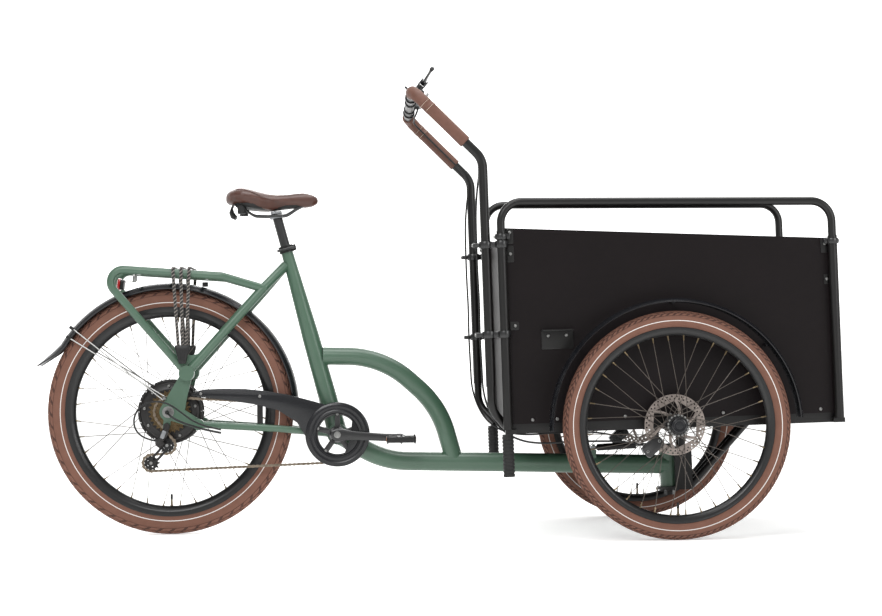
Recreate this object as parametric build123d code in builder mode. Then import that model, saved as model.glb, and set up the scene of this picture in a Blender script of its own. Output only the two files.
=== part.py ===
from build123d import *
import os
from math import asin, atan2, cos, degrees, hypot, pi, radians, sin, sqrt, tan

os.makedirs("parts", exist_ok=True)

# ---------------------------------------------------------------- driving dimensions (mm)
# A three-wheeled box bike: one driven rear wheel, and a front module (two wheels and the cargo
# box) that steers as a whole about a kingpin on the end of the low main tube.
# +X is forward, +Y is the rider's left, +Z is up; z = 0 is the ground.
rear_axle_x = -720.73           # rear axle behind the middle of the whole bike
wheelbase = 1352.0
front_track = 790.0

rear_wheel_radius = 340.0       # 26 inch wheel with a balloon tyre
rear_tyre_radius = 29.0         # half the tyre's width
rear_rim_radius = 291.0
rear_rim_depth = 29.0
rear_rim_half = 17.0
front_wheel_radius = 298.0      # 24 inch wheels
front_tyre_radius = 24.0
front_rim_radius = 254.0
front_rim_depth = 20.0
front_rim_half = 14.0
tyre_wall = 4.5
spoke_radius = 1.0
spoke_count = 36

bracket_x = 463.0               # bottom bracket, ahead of the rear axle
bracket_z = 272.0
bracket_shell_radius = 29.0
bracket_shell_half = 36.5
spindle_radius = 8.5
running_gap = 0.05              # radial clearance of a turning or sliding fit
weld_gap = 0.3                  # free space between parts of different bodies

seat_top_x = 322.0              # top of the seat tube
seat_top_z = 796.0
seat_tube_radii = (27.0, 24.0, 15.9)
seatpost_radius = 13.6
main_tube_radius = 26.5
arch_tube_radius = 25.0
tube_wall = 2.0
stay_radius = 13.0
chainstay_radius = 9.5
rack_tube_radius = 11.0
rack_half_width = 80.0
hub_half_width = 67.5           # over the locknuts
dropout_thick = 8.0
motor_radius = 89.0

chain_line = 52.0               # chain plane right of the middle
chain_half_height = 4.2
chain_half_width = 2.7
link_pitch = 12.7
chainring_teeth = 38
sprocket_teeth = 20             # the sprocket that the chain is on
pulley_teeth = 11
crank_length = 175.0
crank_rest_angle = -4.0         # right crank, from straight ahead
pedal_length = 80.0
pedal_width = 90.0
pedal_height = 24.0

steer_x = 1389.0                # kingpin, ahead of the rear axle, at its lower end
steer_z = 102.0
kingpin_radius = 10.0
head_radius = 24.0
head_low = 12.0                 # head tube's ends, up the kingpin
head_high = 112.0

deck_tilt = 1.4                 # the front module sits nose up by this much
deck_x = 927.0                  # lower rear corner of the box
deck_z = 307.0
box_length = 875.0
box_half_width = 322.0
box_rear_height = 514.0
box_front_height = 458.0
panel_thick = 12.0
post_radius = 12.5
post_wall = 1.6
rail_tube_radius = post_radius - post_wall - running_gap
rear_post_u = -11.0
front_post_u = 866.5
post_offset = box_half_width + post_radius + 0.2
mast_u = -52.0                  # handlebar uprights, behind the posts
mast_v = 320.0
mast_radius = 12.5
mast_wall = 1.55
bar_corner_u = -231.0
bar_corner_w = 886.0
knee_w = 699.0
grip_radius = 16.5


# ---------------------------------------------------------------- places and small helpers
def spot(x, y, z):
    """A point given from the rear axle's place on the ground."""
    return Vector(rear_axle_x + x, y, z)


def deck(u, v, w):
    """A point in the front module: u along the box floor, v to the left, w square to the floor."""
    t = radians(deck_tilt)
    return spot(deck_x + u * cos(t) - w * sin(t), v, deck_z + u * sin(t) + w * cos(t))


deck_along = deck(1, 0, 0) - deck(0, 0, 0)
deck_up = deck(0, 0, 1) - deck(0, 0, 0)


def deck_plane(u, v, w):
    """A plane level with the floor, at a point of the front module."""
    return Plane(origin=deck(u, v, w), x_dir=deck_along, z_dir=deck_up)


def side_plane(x, y, z):
    """An upright plane along the bike: its x is forward, its y is up, its normal points right."""
    return Plane(origin=spot(x, y, z), x_dir=(1, 0, 0), z_dir=(0, -1, 0))


def deck_side(u, v, w):
    """The same upright plane, tilted with the front module."""
    return Plane(origin=deck(u, v, w), x_dir=deck_along, z_dir=(0, -1, 0))


def bar(points, radius, bends=None, wall=0.0):
    """Adds a round bar or tube along straight runs joined by tangent arcs."""
    with BuildLine(mode=Mode.PRIVATE) as run:
        if bends is None:
            Line(points[0], points[1])
        else:
            FilletPolyline(*points, radius=bends)
    path = run.line
    with BuildSketch(Plane(origin=path @ 0, z_dir=path % 0), mode=Mode.PRIVATE) as section:
        Circle(radius)
        if wall:
            Circle(radius - wall, mode=Mode.SUBTRACT)
    sweep(sections=section.sketch, path=path)


def tube_between(start, end, radius, wall=0.0, mode=Mode.ADD):
    """Adds a straight round bar or tube between two points."""
    reach = end - start
    with BuildSketch(Plane(origin=start, z_dir=reach), mode=Mode.PRIVATE) as section:
        Circle(radius)
        if wall:
            Circle(radius - wall, mode=Mode.SUBTRACT)
    extrude(to_extrude=section.sketch, amount=reach.length, mode=mode)


def disc(center, radius, y_low, y_high, bore=0.0, mode=Mode.ADD):
    """Adds a disc or ring whose axis is the bike's cross axis."""
    plane = Plane(origin=(center.X, y_low, center.Z), x_dir=(1, 0, 0), z_dir=(0, 1, 0))
    with BuildSketch(plane, mode=Mode.PRIVATE) as section:
        Circle(radius)
        if bore:
            Circle(bore, mode=Mode.SUBTRACT)
    extrude(to_extrude=section.sketch, amount=y_high - y_low, mode=mode)


def block(plane, length, width, height, mode=Mode.ADD):
    """Adds a block that stands centred on a plane."""
    with BuildSketch(plane, mode=Mode.PRIVATE) as section:
        Rectangle(length, width)
    extrude(to_extrude=section.sketch, amount=height, mode=mode)


def pitch_radius(teeth):
    return link_pitch / (2 * sin(pi / teeth))


def tangent(first, second):
    """The straight run between two belt circles (x, z, radius, turn), turn +1 anticlockwise."""
    x1, z1, r1, s1 = first
    x2, z2, r2, s2 = second
    span = hypot(x2 - x1, z2 - z1)
    lean = atan2(z2 - z1, x2 - x1) - asin((s2 * r2 - s1 * r1) / span) - pi / 2
    start = (x1 + s1 * r1 * cos(lean), z1 + s1 * r1 * sin(lean))
    end = (x2 + s2 * r2 * cos(lean), z2 + s2 * r2 * sin(lean))
    return start, end


def belt_loop(circles, grow):
    """Draws the closed loop of a chain's edge: circles joined by their tangents."""
    ring = [(x, z, r - grow * s, s) for x, z, r, s in circles]
    runs = [tangent(ring[i], ring[(i + 1) % len(ring)]) for i in range(len(ring))]
    for i, (x, z, r, s) in enumerate(ring):
        arrive = runs[i - 1][1]
        leave = runs[i][0]
        a1 = atan2(arrive[1] - z, arrive[0] - x)
        a2 = atan2(leave[1] - z, leave[0] - x)
        turn = (a2 - a1) % (2 * pi) if s > 0 else -((a1 - a2) % (2 * pi))
        middle = (x + r * cos(a1 + turn / 2), z + r * sin(a1 + turn / 2))
        ThreePointArc(arrive, middle, leave)
        Line(leave, runs[i][1])


def finish(piece, label):
    piece.part.label = label
    export_step(piece.part, "parts/" + label + ".step")


rear_axle = spot(0, 0, rear_wheel_radius)
front_axle = spot(wheelbase, 0, front_wheel_radius)
bracket = spot(bracket_x, 0, bracket_z)
seat_top = spot(seat_top_x, 0, seat_top_z)
seat_length = (seat_top - bracket).length
seat_up = (seat_top - bracket).normalized()
seat_plane = Plane(origin=bracket, x_dir=(0, 1, 0), z_dir=seat_up)
steer_foot = spot(steer_x, 0, steer_z)
steer_plane = Plane(origin=steer_foot, x_dir=deck_along, z_dir=deck_up)
damper_root = spot(1172, -52, 226)
damper_eye = spot(1340, -86, 236)
damper_dir = (damper_eye - damper_root).normalized()
damper_pin = 4.0

# ================================================================ rear frame
# Solid outsides of the two big tubes, used to cope whatever is welded to them.
with BuildPart() as seat_tube_outside:
    with BuildSketch(Plane(origin=bracket, x_dir=(0, 1, 0), z_dir=Vector(0, 1, 0).cross(seat_up))):
        with BuildLine():
            Polyline((0, 0), (seat_tube_radii[0], 0), (seat_tube_radii[1], 280),
                     (seat_tube_radii[2], seat_length), (0, seat_length), close=True)
        make_face()
    revolve(axis=Axis(bracket, seat_up))

main_points = [bracket, spot(590, 0, 195), spot(steer_x - 2, 0, 174)]
with BuildPart() as main_tube_outside:
    bar(main_points, main_tube_radius, bends=250)

with BuildPart() as head_outside:
    with BuildSketch(steer_plane.offset(head_low)):
        Circle(head_radius)
    extrude(amount=head_high - head_low)

with BuildPart() as bottom_bracket_shell:
    disc(bracket, bracket_shell_radius, -bracket_shell_half, bracket_shell_half, bore=17.0)
    disc(bracket, 17.0, -bracket_shell_half + 2, bracket_shell_half - 2, bore=spindle_radius + running_gap)
finish(bottom_bracket_shell, "bottom_bracket_shell")

with BuildPart() as bracket_outside:
    disc(bracket, bracket_shell_radius, -bracket_shell_half, bracket_shell_half)

with BuildPart() as seat_tube:
    post_bore = seatpost_radius + running_gap
    with BuildSketch(Plane(origin=bracket, x_dir=(0, 1, 0), z_dir=Vector(0, 1, 0).cross(seat_up))):
        with BuildLine():
            Polyline((seat_tube_radii[0], 0), (seat_tube_radii[1], 280), (seat_tube_radii[2], seat_length),
                     (post_bore, seat_length), (post_bore, 300), (seat_tube_radii[1] - tube_wall, 282),
                     (seat_tube_radii[0] - tube_wall, 0), close=True)
        make_face()
    revolve(axis=Axis(bracket, seat_up))
    add(bracket_outside.part, mode=Mode.SUBTRACT)
finish(seat_tube, "seat_tube")

with BuildPart() as main_tube:
    bar(main_points, main_tube_radius, bends=250, wall=tube_wall)
    add(bracket_outside.part, mode=Mode.SUBTRACT)
    add(seat_tube_outside.part, mode=Mode.SUBTRACT)
    add(head_outside.part, mode=Mode.SUBTRACT)
    # head tube that the kingpin turns in
    with BuildSketch(steer_plane.offset(head_low)):
        Circle(head_radius)
        Circle(kingpin_radius + running_gap, mode=Mode.SUBTRACT)
    extrude(amount=head_high - head_low)
    # lug and pin that the steering damper swings on
    block(Plane(origin=damper_root + Vector(0, 12, -30)), 14, 26, 16)
    block(Plane(origin=damper_root + Vector(0, 0, -15)), 14, 16, 9)
    tube_between(damper_root + Vector(0, 0, -9), damper_root + Vector(0, 0, 9), damper_pin)
finish(main_tube, "main_tube")

with BuildPart() as arch_tube:
    bar([spot(424, 0, 489), spot(590, 0, 485), spot(745, 0, 345), spot(788, 0, 190)],
        arch_tube_radius, bends=260, wall=tube_wall)
    add(seat_tube_outside.part, mode=Mode.SUBTRACT)
    add(main_tube_outside.part, mode=Mode.SUBTRACT)
finish(arch_tube, "arch_tube")

# Dropouts: forged plates that hold the axle and gather the three stays of each side.
knot_x, knot_z, knot_radius = 52.0, 446.0, 21.0
heel_x, heel_z, heel_radius = 84.0, 305.0, 15.0
stay_y = hub_half_width + 12.5
with BuildPart() as dropouts:
    for side in (-1, 1):
        plate_y = side * hub_half_width if side > 0 else -hub_half_width - dropout_thick
        with BuildSketch(Plane(origin=(rear_axle.X, plate_y, 0), x_dir=(1, 0, 0), z_dir=(0, -1, 0))):
            with Locations((0, rear_wheel_radius)):
                Circle(24)
            with BuildLine():
                Polyline((-22, 350), (knot_x - 16, knot_z), (knot_x + 16, knot_z), (50, 372), (46, 345),
                         (heel_x + 2, heel_z + 13), (heel_x - 2, heel_z - 13), (5, 317), (-14, 318), close=True)
            make_face()
            with Locations((0, rear_wheel_radius)):
                Circle(7.2, mode=Mode.SUBTRACT)
        extrude(amount=-dropout_thick)
        if side < 0:
            # derailleur hanger
            with BuildSketch(Plane(origin=(rear_axle.X, plate_y, 0), x_dir=(1, 0, 0), z_dir=(0, -1, 0))):
                with BuildLine():
                    Polyline((-12, 322), (8, 322), (2, 292), (-16, 292), close=True)
                make_face()
            extrude(amount=-dropout_thick)
        knot = spot(knot_x, 0, knot_z)
        heel = spot(heel_x, 0, heel_z)
        disc(knot, knot_radius, side * stay_y - 13.5, side * stay_y + 13.5)
        disc(heel, heel_radius, side * stay_y - 12.5, side * stay_y + 10)
finish(dropouts, "dropouts")

with BuildPart() as knots_outside:
    for side in (-1, 1):
        disc(spot(knot_x, 0, knot_z), knot_radius, side * stay_y - 13.5, side * stay_y + 13.5)
        disc(spot(heel_x, 0, heel_z), heel_radius, side * stay_y - 12.5, side * stay_y + 10)


def stay_points(side):
    return [spot(knot_x, side * stay_y, knot_z), spot(262, side * 56, 678), spot(321, side * 6, 742)]


with BuildPart() as stays_outside:
    for side in (-1, 1):
        bar(stay_points(side), stay_radius, bends=45)

with BuildPart() as seatstays:
    for side in (-1, 1):
        bar(stay_points(side), stay_radius, bends=45, wall=tube_wall)
    with BuildSketch(Plane(origin=spot(298, 0, 716), z_dir=(1, 0, 1))):
        Rectangle(20, 60)
    extrude(amount=6)
    add(seat_tube_outside.part, mode=Mode.SUBTRACT)
    add(knots_outside.part, mode=Mode.SUBTRACT)
finish(seatstays, "seatstays")

with BuildPart() as chainstays:
    for side in (-1, 1):
        bar([spot(heel_x, side * stay_y, heel_z), spot(300, side * 50, 290), spot(bracket_x - 5, side * 24, 273)],
            chainstay_radius, bends=220, wall=1.5)
    add(knots_outside.part, mode=Mode.SUBTRACT)
    add(bracket_outside.part, mode=Mode.SUBTRACT)
    add(seat_tube_outside.part, mode=Mode.SUBTRACT)
    add(main_tube_outside.part, mode=Mode.SUBTRACT)
finish(chainstays, "chainstays")

# Rack: a hoop on each side, rising from the dropout and running forward to the seatstay.
rack_top_z = 726.0
with BuildPart() as rear_rack:
    for side in (-1, 1):
        bar([spot(knot_x, side * stay_y, knot_z), spot(-199, side * rack_half_width, 739),
             spot(150, side * rack_half_width, 712), spot(270, side * 55, 676)],
            rack_tube_radius, bends=34, wall=1.8)
        # web between strut and stay
        with BuildSketch(Plane(origin=(rear_axle.X, side * stay_y - 2.5, 0), x_dir=(1, 0, 0), z_dir=(0, -1, 0))):
            with BuildLine():
                Polyline((30, 470), (3, 504), (60, 494), (106, 504), (76, 470), close=True)
            make_face()
        extrude(amount=-5)
    for cross_x, cross_z in ((-92, 728), (4, 721), (98, 714)):
        tube_between(spot(cross_x, -rack_half_width, cross_z), spot(cross_x, rack_half_width, cross_z), 6)
    add(stays_outside.part, mode=Mode.SUBTRACT)
    add(knots_outside.part, mode=Mode.SUBTRACT)
finish(rear_rack, "rear_rack")

# ---------------------------------------------------------------- rear fittings
guard_radius = 357.0
guard_half = 34.0
guard_wall = 2.0
guard_start, guard_end = 4.0, 148.0


def fender_arc(center, radius, half, skirt, wall, start, end):
    """Adds a mudguard: a crowned channel swept round a wheel from one angle to another."""
    plane = Plane(origin=center, x_dir=(cos(radians(start)), 0, sin(radians(start))), z_dir=(0, -1, 0))
    section_plane = Plane(origin=center, x_dir=plane.x_dir, z_dir=Vector(0, 1, 0).cross(plane.x_dir))
    with BuildSketch(section_plane, mode=Mode.PRIVATE) as channel:
        with BuildLine():
            lead = ThreePointArc((radius - skirt, -half), (radius, 0), (radius - skirt, half))
            Line(lead @ 1, (radius - skirt - wall, half - wall))
            inner = ThreePointArc((radius - skirt - wall, half - wall), (radius - wall, 0),
                                  (radius - skirt - wall, -half + wall))
            Line(inner @ 1, lead @ 0)
        make_face()
    revolve(profiles=channel.sketch, axis=Axis(center, (0, -1, 0)), revolution_arc=end - start)


def wire_stay(side, start, end, radius):
    tube_between(Vector(start.X, side * start.Y, start.Z), Vector(end.X, side * end.Y, end.Z), radius)


with BuildPart() as rear_mudguard:
    fender_arc(rear_axle, guard_radius, guard_half, 14.0, guard_wall, guard_start, guard_end)
    # flap at the rear, flared outwards
    flap_a = radians(guard_end)
    flap_root = Vector(rear_axle.X + (guard_radius - 8) * cos(flap_a), 0, rear_axle.Z + (guard_radius - 8) * sin(flap_a))
    flap_tip = spot(-366, 0, 472)
    flap_dir = (flap_tip - flap_root).normalized()
    with BuildSketch(Plane(origin=flap_root + flap_dir * 3, x_dir=(0, 1, 0), z_dir=flap_dir)):
        Rectangle(60, 4)
    with BuildSketch(Plane(origin=flap_tip, x_dir=(0, 1, 0), z_dir=flap_dir)):
        Rectangle(74, 5)
    loft()
    for side in (-1, 1):
        for offset in (0, 26):
            wire_stay(side, spot(-8 - offset * 0.2, 79, 382 - offset * 0.35),
                      spot(-276 + offset * 0.35, 37.5, 548 + offset), 2.2)
    # tab from the guard up to the rack's front cross tube
    block(Plane(origin=spot(98, 0, rear_wheel_radius + sqrt(guard_radius ** 2 - 98 ** 2) + 3)), 16, 14, 12)
finish(rear_mudguard, "rear_mudguard")

with BuildPart() as rear_light:
    lamp = Plane(origin=spot(-136, 0, 694), x_dir=(0, 1, 0), z_dir=(-1, 0, 0.12))
    with BuildSketch(lamp):
        RectangleRounded(46, 34, 8)
    extrude(amount=9)
    with BuildSketch(lamp.offset(-10)):
        RectangleRounded(40, 28, 6)
    extrude(amount=9.5)
    block(Plane(origin=spot(-112, 0, 700)), 36, 14, 3)
    block(Plane(origin=spot(-97, 0, 703)), 14, 14, 18)
finish(rear_light, "rear_light")

with BuildPart() as rear_axle_set:
    disc(rear_axle, 7.0, -100, 100)
    for side in (-1, 1):
        seat = side * (hub_half_width + dropout_thick)
        disc(rear_axle, 16, min(seat, seat + side * 3), max(seat, seat + side * 3), bore=7.0)
        nut = Plane(origin=(rear_axle.X, seat + side * 3, rear_axle.Z), x_dir=(1, 0, 0), z_dir=(0, side, 0))
        with BuildSketch(nut):
            RegularPolygon(11, 6)
            Circle(7.0, mode=Mode.SUBTRACT)
        extrude(amount=11)
finish(rear_axle_set, "rear_axle")

# ---------------------------------------------------------------- drivetrain
ring_radius = pitch_radius(chainring_teeth)
cog_radius = pitch_radius(sprocket_teeth)
pulley_radius = pitch_radius(pulley_teeth)
upper_x, upper_z = -6.0, 248.0
lower_x, lower_z = -50.0, 200.0
chain_circles = [(0, rear_wheel_radius, cog_radius, -1), (bracket_x, bracket_z, ring_radius, -1),
                 (lower_x, lower_z, pulley_radius, -1), (upper_x, upper_z, pulley_radius, 1)]
clear_radius = chain_half_height + weld_gap

with BuildPart() as chain:
    with BuildSketch(side_plane(0, -chain_line + chain_half_width, 0)):
        with BuildLine():
            belt_loop(chain_circles, chain_half_height)
        make_face()
        with BuildLine():
            belt_loop(chain_circles, -chain_half_height)
        make_face(mode=Mode.SUBTRACT)
    extrude(amount=2 * chain_half_width)
finish(chain, "chain")

with BuildPart() as freewheel:
    for step in range(7):
        teeth = 28 - 2 * step if step < 6 else 14
        y_mid = -(36.0 + step * 4.0)
        outer = pitch_radius(teeth) - clear_radius
        disc(rear_axle, outer, y_mid - 1.0, y_mid + 1.0, bore=20)
    disc(rear_axle, 20, -63, -33, bore=17)
finish(freewheel, "freewheel")

with BuildPart() as chainring:
    ring_y = -chain_line
    disc(bracket, ring_radius - clear_radius, ring_y - 1.5, ring_y + 1.5, bore=52)
    with BuildSketch(side_plane(bracket_x, ring_y + 3.0, bracket_z)):
        with PolarLocations(37, 5, start_angle=90):
            Rectangle(42, 14)
    extrude(amount=6)
    disc(bracket, 22, ring_y - 3.0, ring_y + 3.0, bore=spindle_radius)
finish(chainring, "chainring")


def crank_end(side, reach):
    """A point along a crank arm's middle line; the left arm points the other way."""
    a = radians(crank_rest_angle)
    return (bracket_x - side * reach * cos(a), bracket_z - side * reach * sin(a))


arm_face = 66.0                 # inner face of both crank arms
arm_thick = 14.0
pedal_gap = 3.0
with BuildPart() as crank_arms:
    disc(bracket, spindle_radius, -arm_face, arm_face)
    for side in (-1, 1):
        tip_x, tip_z = crank_end(side, crank_length)
        root_x, root_z = crank_end(side, 0)
        face_y = side * arm_face
        plane = Plane(origin=(rear_axle.X, face_y, 0), x_dir=(1, 0, 0), z_dir=(0, -1, 0))
        with BuildSketch(plane):
            with BuildLine():
                a = radians(crank_rest_angle)
                nx, nz = -sin(a), cos(a)
                Polyline((root_x + 17 * nx, root_z + 17 * nz), (tip_x + 13 * nx, tip_z + 13 * nz),
                         (tip_x - 13 * nx, tip_z - 13 * nz), (root_x - 17 * nx, root_z - 17 * nz), close=True)
            make_face()
            with Locations((root_x, root_z)):
                Circle(18)
            with Locations((tip_x, tip_z)):
                Circle(13.5)
        extrude(amount=-side * arm_thick)
        outer = face_y + side * arm_thick
        pin_end = outer + side * (pedal_gap + pedal_width - 6)
        disc(spot(tip_x, 0, tip_z), 4.0, min(outer, pin_end), max(outer, pin_end))
finish(crank_arms, "crank_arms")

for side, name in ((-1, "pedal_right"), (1, "pedal_left")):
    with BuildPart() as pedal:
        tip_x, tip_z = crank_end(side, crank_length)
        near_y = side * (arm_face + arm_thick + pedal_gap)
        far_y = near_y + side * pedal_width
        low_y, high_y = min(near_y, far_y), max(near_y, far_y)
        block(Plane(origin=spot(tip_x, (low_y + high_y) / 2, tip_z - pedal_height / 2)),
              pedal_length, pedal_width, pedal_height)
        for shift in (-24, 24):
            block(Plane(origin=spot(tip_x + shift, (low_y + high_y) / 2, tip_z - pedal_height / 2 - 1)),
                  26, pedal_width - 26, pedal_height + 2, mode=Mode.SUBTRACT)
        disc(spot(tip_x, 0, tip_z), 4.0 + running_gap, low_y - 1, high_y - 5 if side > 0 else high_y + 1,
             mode=Mode.SUBTRACT)
        if side < 0:
            disc(spot(tip_x, 0, tip_z), 4.0 + running_gap, low_y + 5, high_y + 1, mode=Mode.SUBTRACT)
    finish(pedal, name)

# Derailleur: a fixed body on the hanger, and a sprung cage with two pulleys.
cage_y_out = -chain_line - 6.0
cage_y_in = -chain_line + 6.0
with BuildPart() as derailleur_body:
    hanger_face = -hub_half_width - dropout_thick
    disc(spot(-4, 0, 302), 9, hanger_face - 12, hanger_face)
    tube_between(spot(-4, hanger_face - 7, 302), spot(-12, hanger_face - 7, 272), 6)
    tube_between(spot(-12, hanger_face - 5, 272), spot(upper_x - 18, -chain_line - 18, upper_z + 8), 8)
    disc(spot(upper_x - 18, 0, upper_z + 8), 13, -chain_line - 22, -chain_line - 9)
finish(derailleur_body, "derailleur_body")

with BuildPart() as derailleur_cage:
    span = spot(lower_x, 0, lower_z) - spot(upper_x, 0, upper_z)
    lean = degrees(atan2(span.Z, span.X))
    middle_x, middle_z = (upper_x + lower_x) / 2, (upper_z + lower_z) / 2
    for y in (cage_y_out - 1.5, cage_y_in):
        plane = Plane(origin=spot(middle_x, y + 1.5, middle_z), x_dir=span.normalized(), z_dir=(0, -1, 0))
        with BuildSketch(plane):
            SlotCenterToCenter(span.length, 20)
        extrude(amount=1.5)
    for x, z in ((upper_x, upper_z), (lower_x, lower_z)):
        disc(spot(x, 0, z), 3.0, cage_y_out, cage_y_in)
finish(derailleur_cage, "derailleur_cage")

for name, x, z in (("upper_pulley", upper_x, upper_z), ("lower_pulley", lower_x, lower_z)):
    with BuildPart() as pulley:
        disc(spot(x, 0, z), pulley_radius - clear_radius, -chain_line - 2.2, -chain_line + 2.2,
             bore=3.0 + running_gap)
    finish(pulley, name)

# Chain guard: a ring in front of the chainring and a long tapering arm over the upper run.
guard_y = -chain_line - 5.5
with BuildPart() as chain_guard:
    with BuildSketch(side_plane(0, guard_y, 0)):
        with BuildLine():
            Polyline((60, 384), (96, 402), (210, 402), (330, 384), (440, 352), (520, 330),
                     (bracket_x + 20, bracket_z), (bracket_x - 60, bracket_z + 40), (330, 340), (180, 366), close=True)
        make_face()
        with Locations((bracket_x, bracket_z)):
            Circle(89)
        with Locations((bracket_x, bracket_z)):
            Circle(58, mode=Mode.SUBTRACT)
    extrude(amount=3)
    # bracket back to the chainstay, ahead of the wheel
    block(Plane(origin=spot(250, -58, 304.5)), 16, 5, 58)
finish(chain_guard, "chain_guard")

# ---------------------------------------------------------------- seat clamp, post and saddle
with BuildPart() as seat_clamp:
    with BuildSketch(seat_plane.offset(seat_length - 18)):
        Circle(20.5)
        Circle(16.8, mode=Mode.SUBTRACT)
    extrude(amount=19)
    with BuildSketch(seat_plane.offset(seat_length - 17)):
        with Locations((0, -23)):
            Rectangle(14, 10)
    extrude(amount=16)
    add(seat_tube_outside.part, mode=Mode.SUBTRACT)
finish(seat_clamp, "seat_clamp")

lever_root = seat_plane.from_local_coords(Vector(-13, -24, seat_length - 9))
lever_tip = seat_plane.from_local_coords(Vector(-13, 24, seat_length - 9))
with BuildPart() as clamp_lever:
    tube_between(lever_root + Vector(0, -7, 0), lever_root + Vector(0, 0, 0), 5)
    tube_between(lever_root + Vector(0, -7, 0), lever_tip + Vector(0, -22, 0), 3.4)
finish(clamp_lever, "clamp_lever")

post_top = seat_length + 84.0
post_bottom = seat_length - 220.0
with BuildPart() as seatpost:
    with BuildSketch(seat_plane.offset(post_bottom)):
        Circle(seatpost_radius)
        Circle(seatpost_radius - 2.2, mode=Mode.SUBTRACT)
    extrude(amount=post_top - post_bottom)
    head = seat_plane.from_local_coords(Vector(0, 0, post_top))
    block(Plane(origin=head + Vector(0, 0, -3)), 34, 46, 13)
    for side in (-1, 1):
        bar([spot(205, side * 26, 905), spot(245, side * 22, 879), spot(318, side * 22, 879),
             spot(372, side * 12, 905)], 3.5, bends=16)
finish(seatpost, "seatpost")


def saddle_outline(scale):
    """Half of the saddle's plan: wide at the back, waisted, with a narrow nose."""
    return [(-115 * scale, 0), (-105 * scale, 62 * scale), (-62 * scale, 88 * scale),
            (-10 * scale, 62 * scale), (40 * scale, 30 * scale), (110 * scale, 20 * scale),
            (145 * scale, 0)]


saddle_mid_x = 272.0
with BuildPart() as saddle_base:
    with BuildSketch(Plane(origin=spot(saddle_mid_x, 0, 909))):
        with BuildLine():
            outline = Spline(*saddle_outline(0.93), tangents=((0, 1), (0, -1)))
            mirror(outline, about=Plane.XZ)
        make_face()
    extrude(amount=8)
    for side in (-1, 1):
        tube_between(spot(205, side * 45, 885), spot(205, side * 45, 909), 13)
finish(saddle_base, "saddle_base")

with BuildPart() as saddle_cover:
    for height, scale in ((917.2, 0.99), (928, 1.0), (943, 0.7)):
        with BuildSketch(Plane(origin=spot(saddle_mid_x - (1 - scale) * 60, 0, height))):
            with BuildLine():
                outline = Spline(*saddle_outline(scale), tangents=((0, 1), (0, -1)))
                mirror(outline, about=Plane.XZ)
            make_face()
    loft(ruled=True)
    with BuildSketch(Plane(origin=spot(204, 0, 940))):
        Ellipse(34, 56)
    with BuildSketch(Plane(origin=spot(200, 0, 957))):
        Ellipse(22, 44)
    loft()
finish(saddle_cover, "saddle_cover")


# ================================================================ wheels
def tyre(center, wheel_radius, section, rim_radius, y_mid):
    """Adds a hollow tyre that sits on its rim."""
    plane = Plane(origin=(center.X, y_mid, center.Z), x_dir=(0, 0, 1), z_dir=(1, 0, 0))
    with BuildSketch(plane, mode=Mode.PRIVATE) as profile:
        with Locations((wheel_radius - section, 0)):
            Circle(section)
            Circle(section - tyre_wall, mode=Mode.SUBTRACT)
        with Locations((rim_radius - section, 0)):
            Rectangle(2 * section, 4 * section, mode=Mode.SUBTRACT)
    revolve(profiles=profile.sketch, axis=Axis(Vector(center.X, y_mid, center.Z), (0, 1, 0)))


def rim(center, radius, depth, half, y_mid):
    """Adds a deep rim with a hollow box section."""
    plane = Plane(origin=(center.X, y_mid, center.Z), x_dir=(0, 0, 1), z_dir=(1, 0, 0))
    with BuildSketch(plane, mode=Mode.PRIVATE) as profile:
        with BuildLine():
            Polyline((radius, -half), (radius, half), (radius - depth * 0.45, half),
                     (radius - depth, 5), (radius - depth, -5), (radius - depth * 0.45, -half), close=True)
        make_face()
        with Locations((radius - depth * 0.4, 0)):
            Rectangle(depth * 0.45, half, mode=Mode.SUBTRACT)
    revolve(profiles=profile.sketch, axis=Axis(Vector(center.X, y_mid, center.Z), (0, 1, 0)))


def spokes(center, y_mid, hub_radius, flange_half, reach, cross):
    """Adds laced spokes: each leaves its flange almost along the tangent."""
    for index in range(spoke_count):
        side = 1 if index % 2 else -1
        lead = 1 if (index // 2) % 2 else -1
        at_rim = 2 * pi * (index + 0.5) / spoke_count
        at_hub = at_rim + lead * radians(cross)
        start = Vector(center.X + hub_radius * cos(at_hub), y_mid + side * flange_half,
                       center.Z + hub_radius * sin(at_hub))
        end = Vector(center.X + reach * cos(at_rim), y_mid + side * 3.0, center.Z + reach * sin(at_rim))
        tube_between(start, end, spoke_radius)


with BuildPart() as rear_tyre:
    tyre(rear_axle, rear_wheel_radius, rear_tyre_radius, rear_rim_radius, 0)
finish(rear_tyre, "rear_tyre")

with BuildPart() as rear_rim:
    rim(rear_axle, rear_rim_radius, rear_rim_depth, rear_rim_half, 0)
    valve_end = rear_rim_radius - rear_rim_depth
    tube_between(spot(0, 0, rear_wheel_radius - valve_end + 32), spot(0, 0, rear_wheel_radius - valve_end - 2), 3)
finish(rear_rim, "rear_rim")

with BuildPart() as motor_hub:
    axle_bore = 7.0 + running_gap
    disc(rear_axle, motor_radius - 6, -28, 52, bore=axle_bore)
    disc(rear_axle, 50, 52, 62, bore=axle_bore)
    for flange_y in (-26, 40):
        disc(rear_axle, motor_radius, flange_y, flange_y + 6, bore=motor_radius - 8)
    spokes(rear_axle, 10, motor_radius - 2, 31, rear_rim_radius - rear_rim_depth - 0.3, 28)
finish(motor_hub, "motor_hub")

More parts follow.
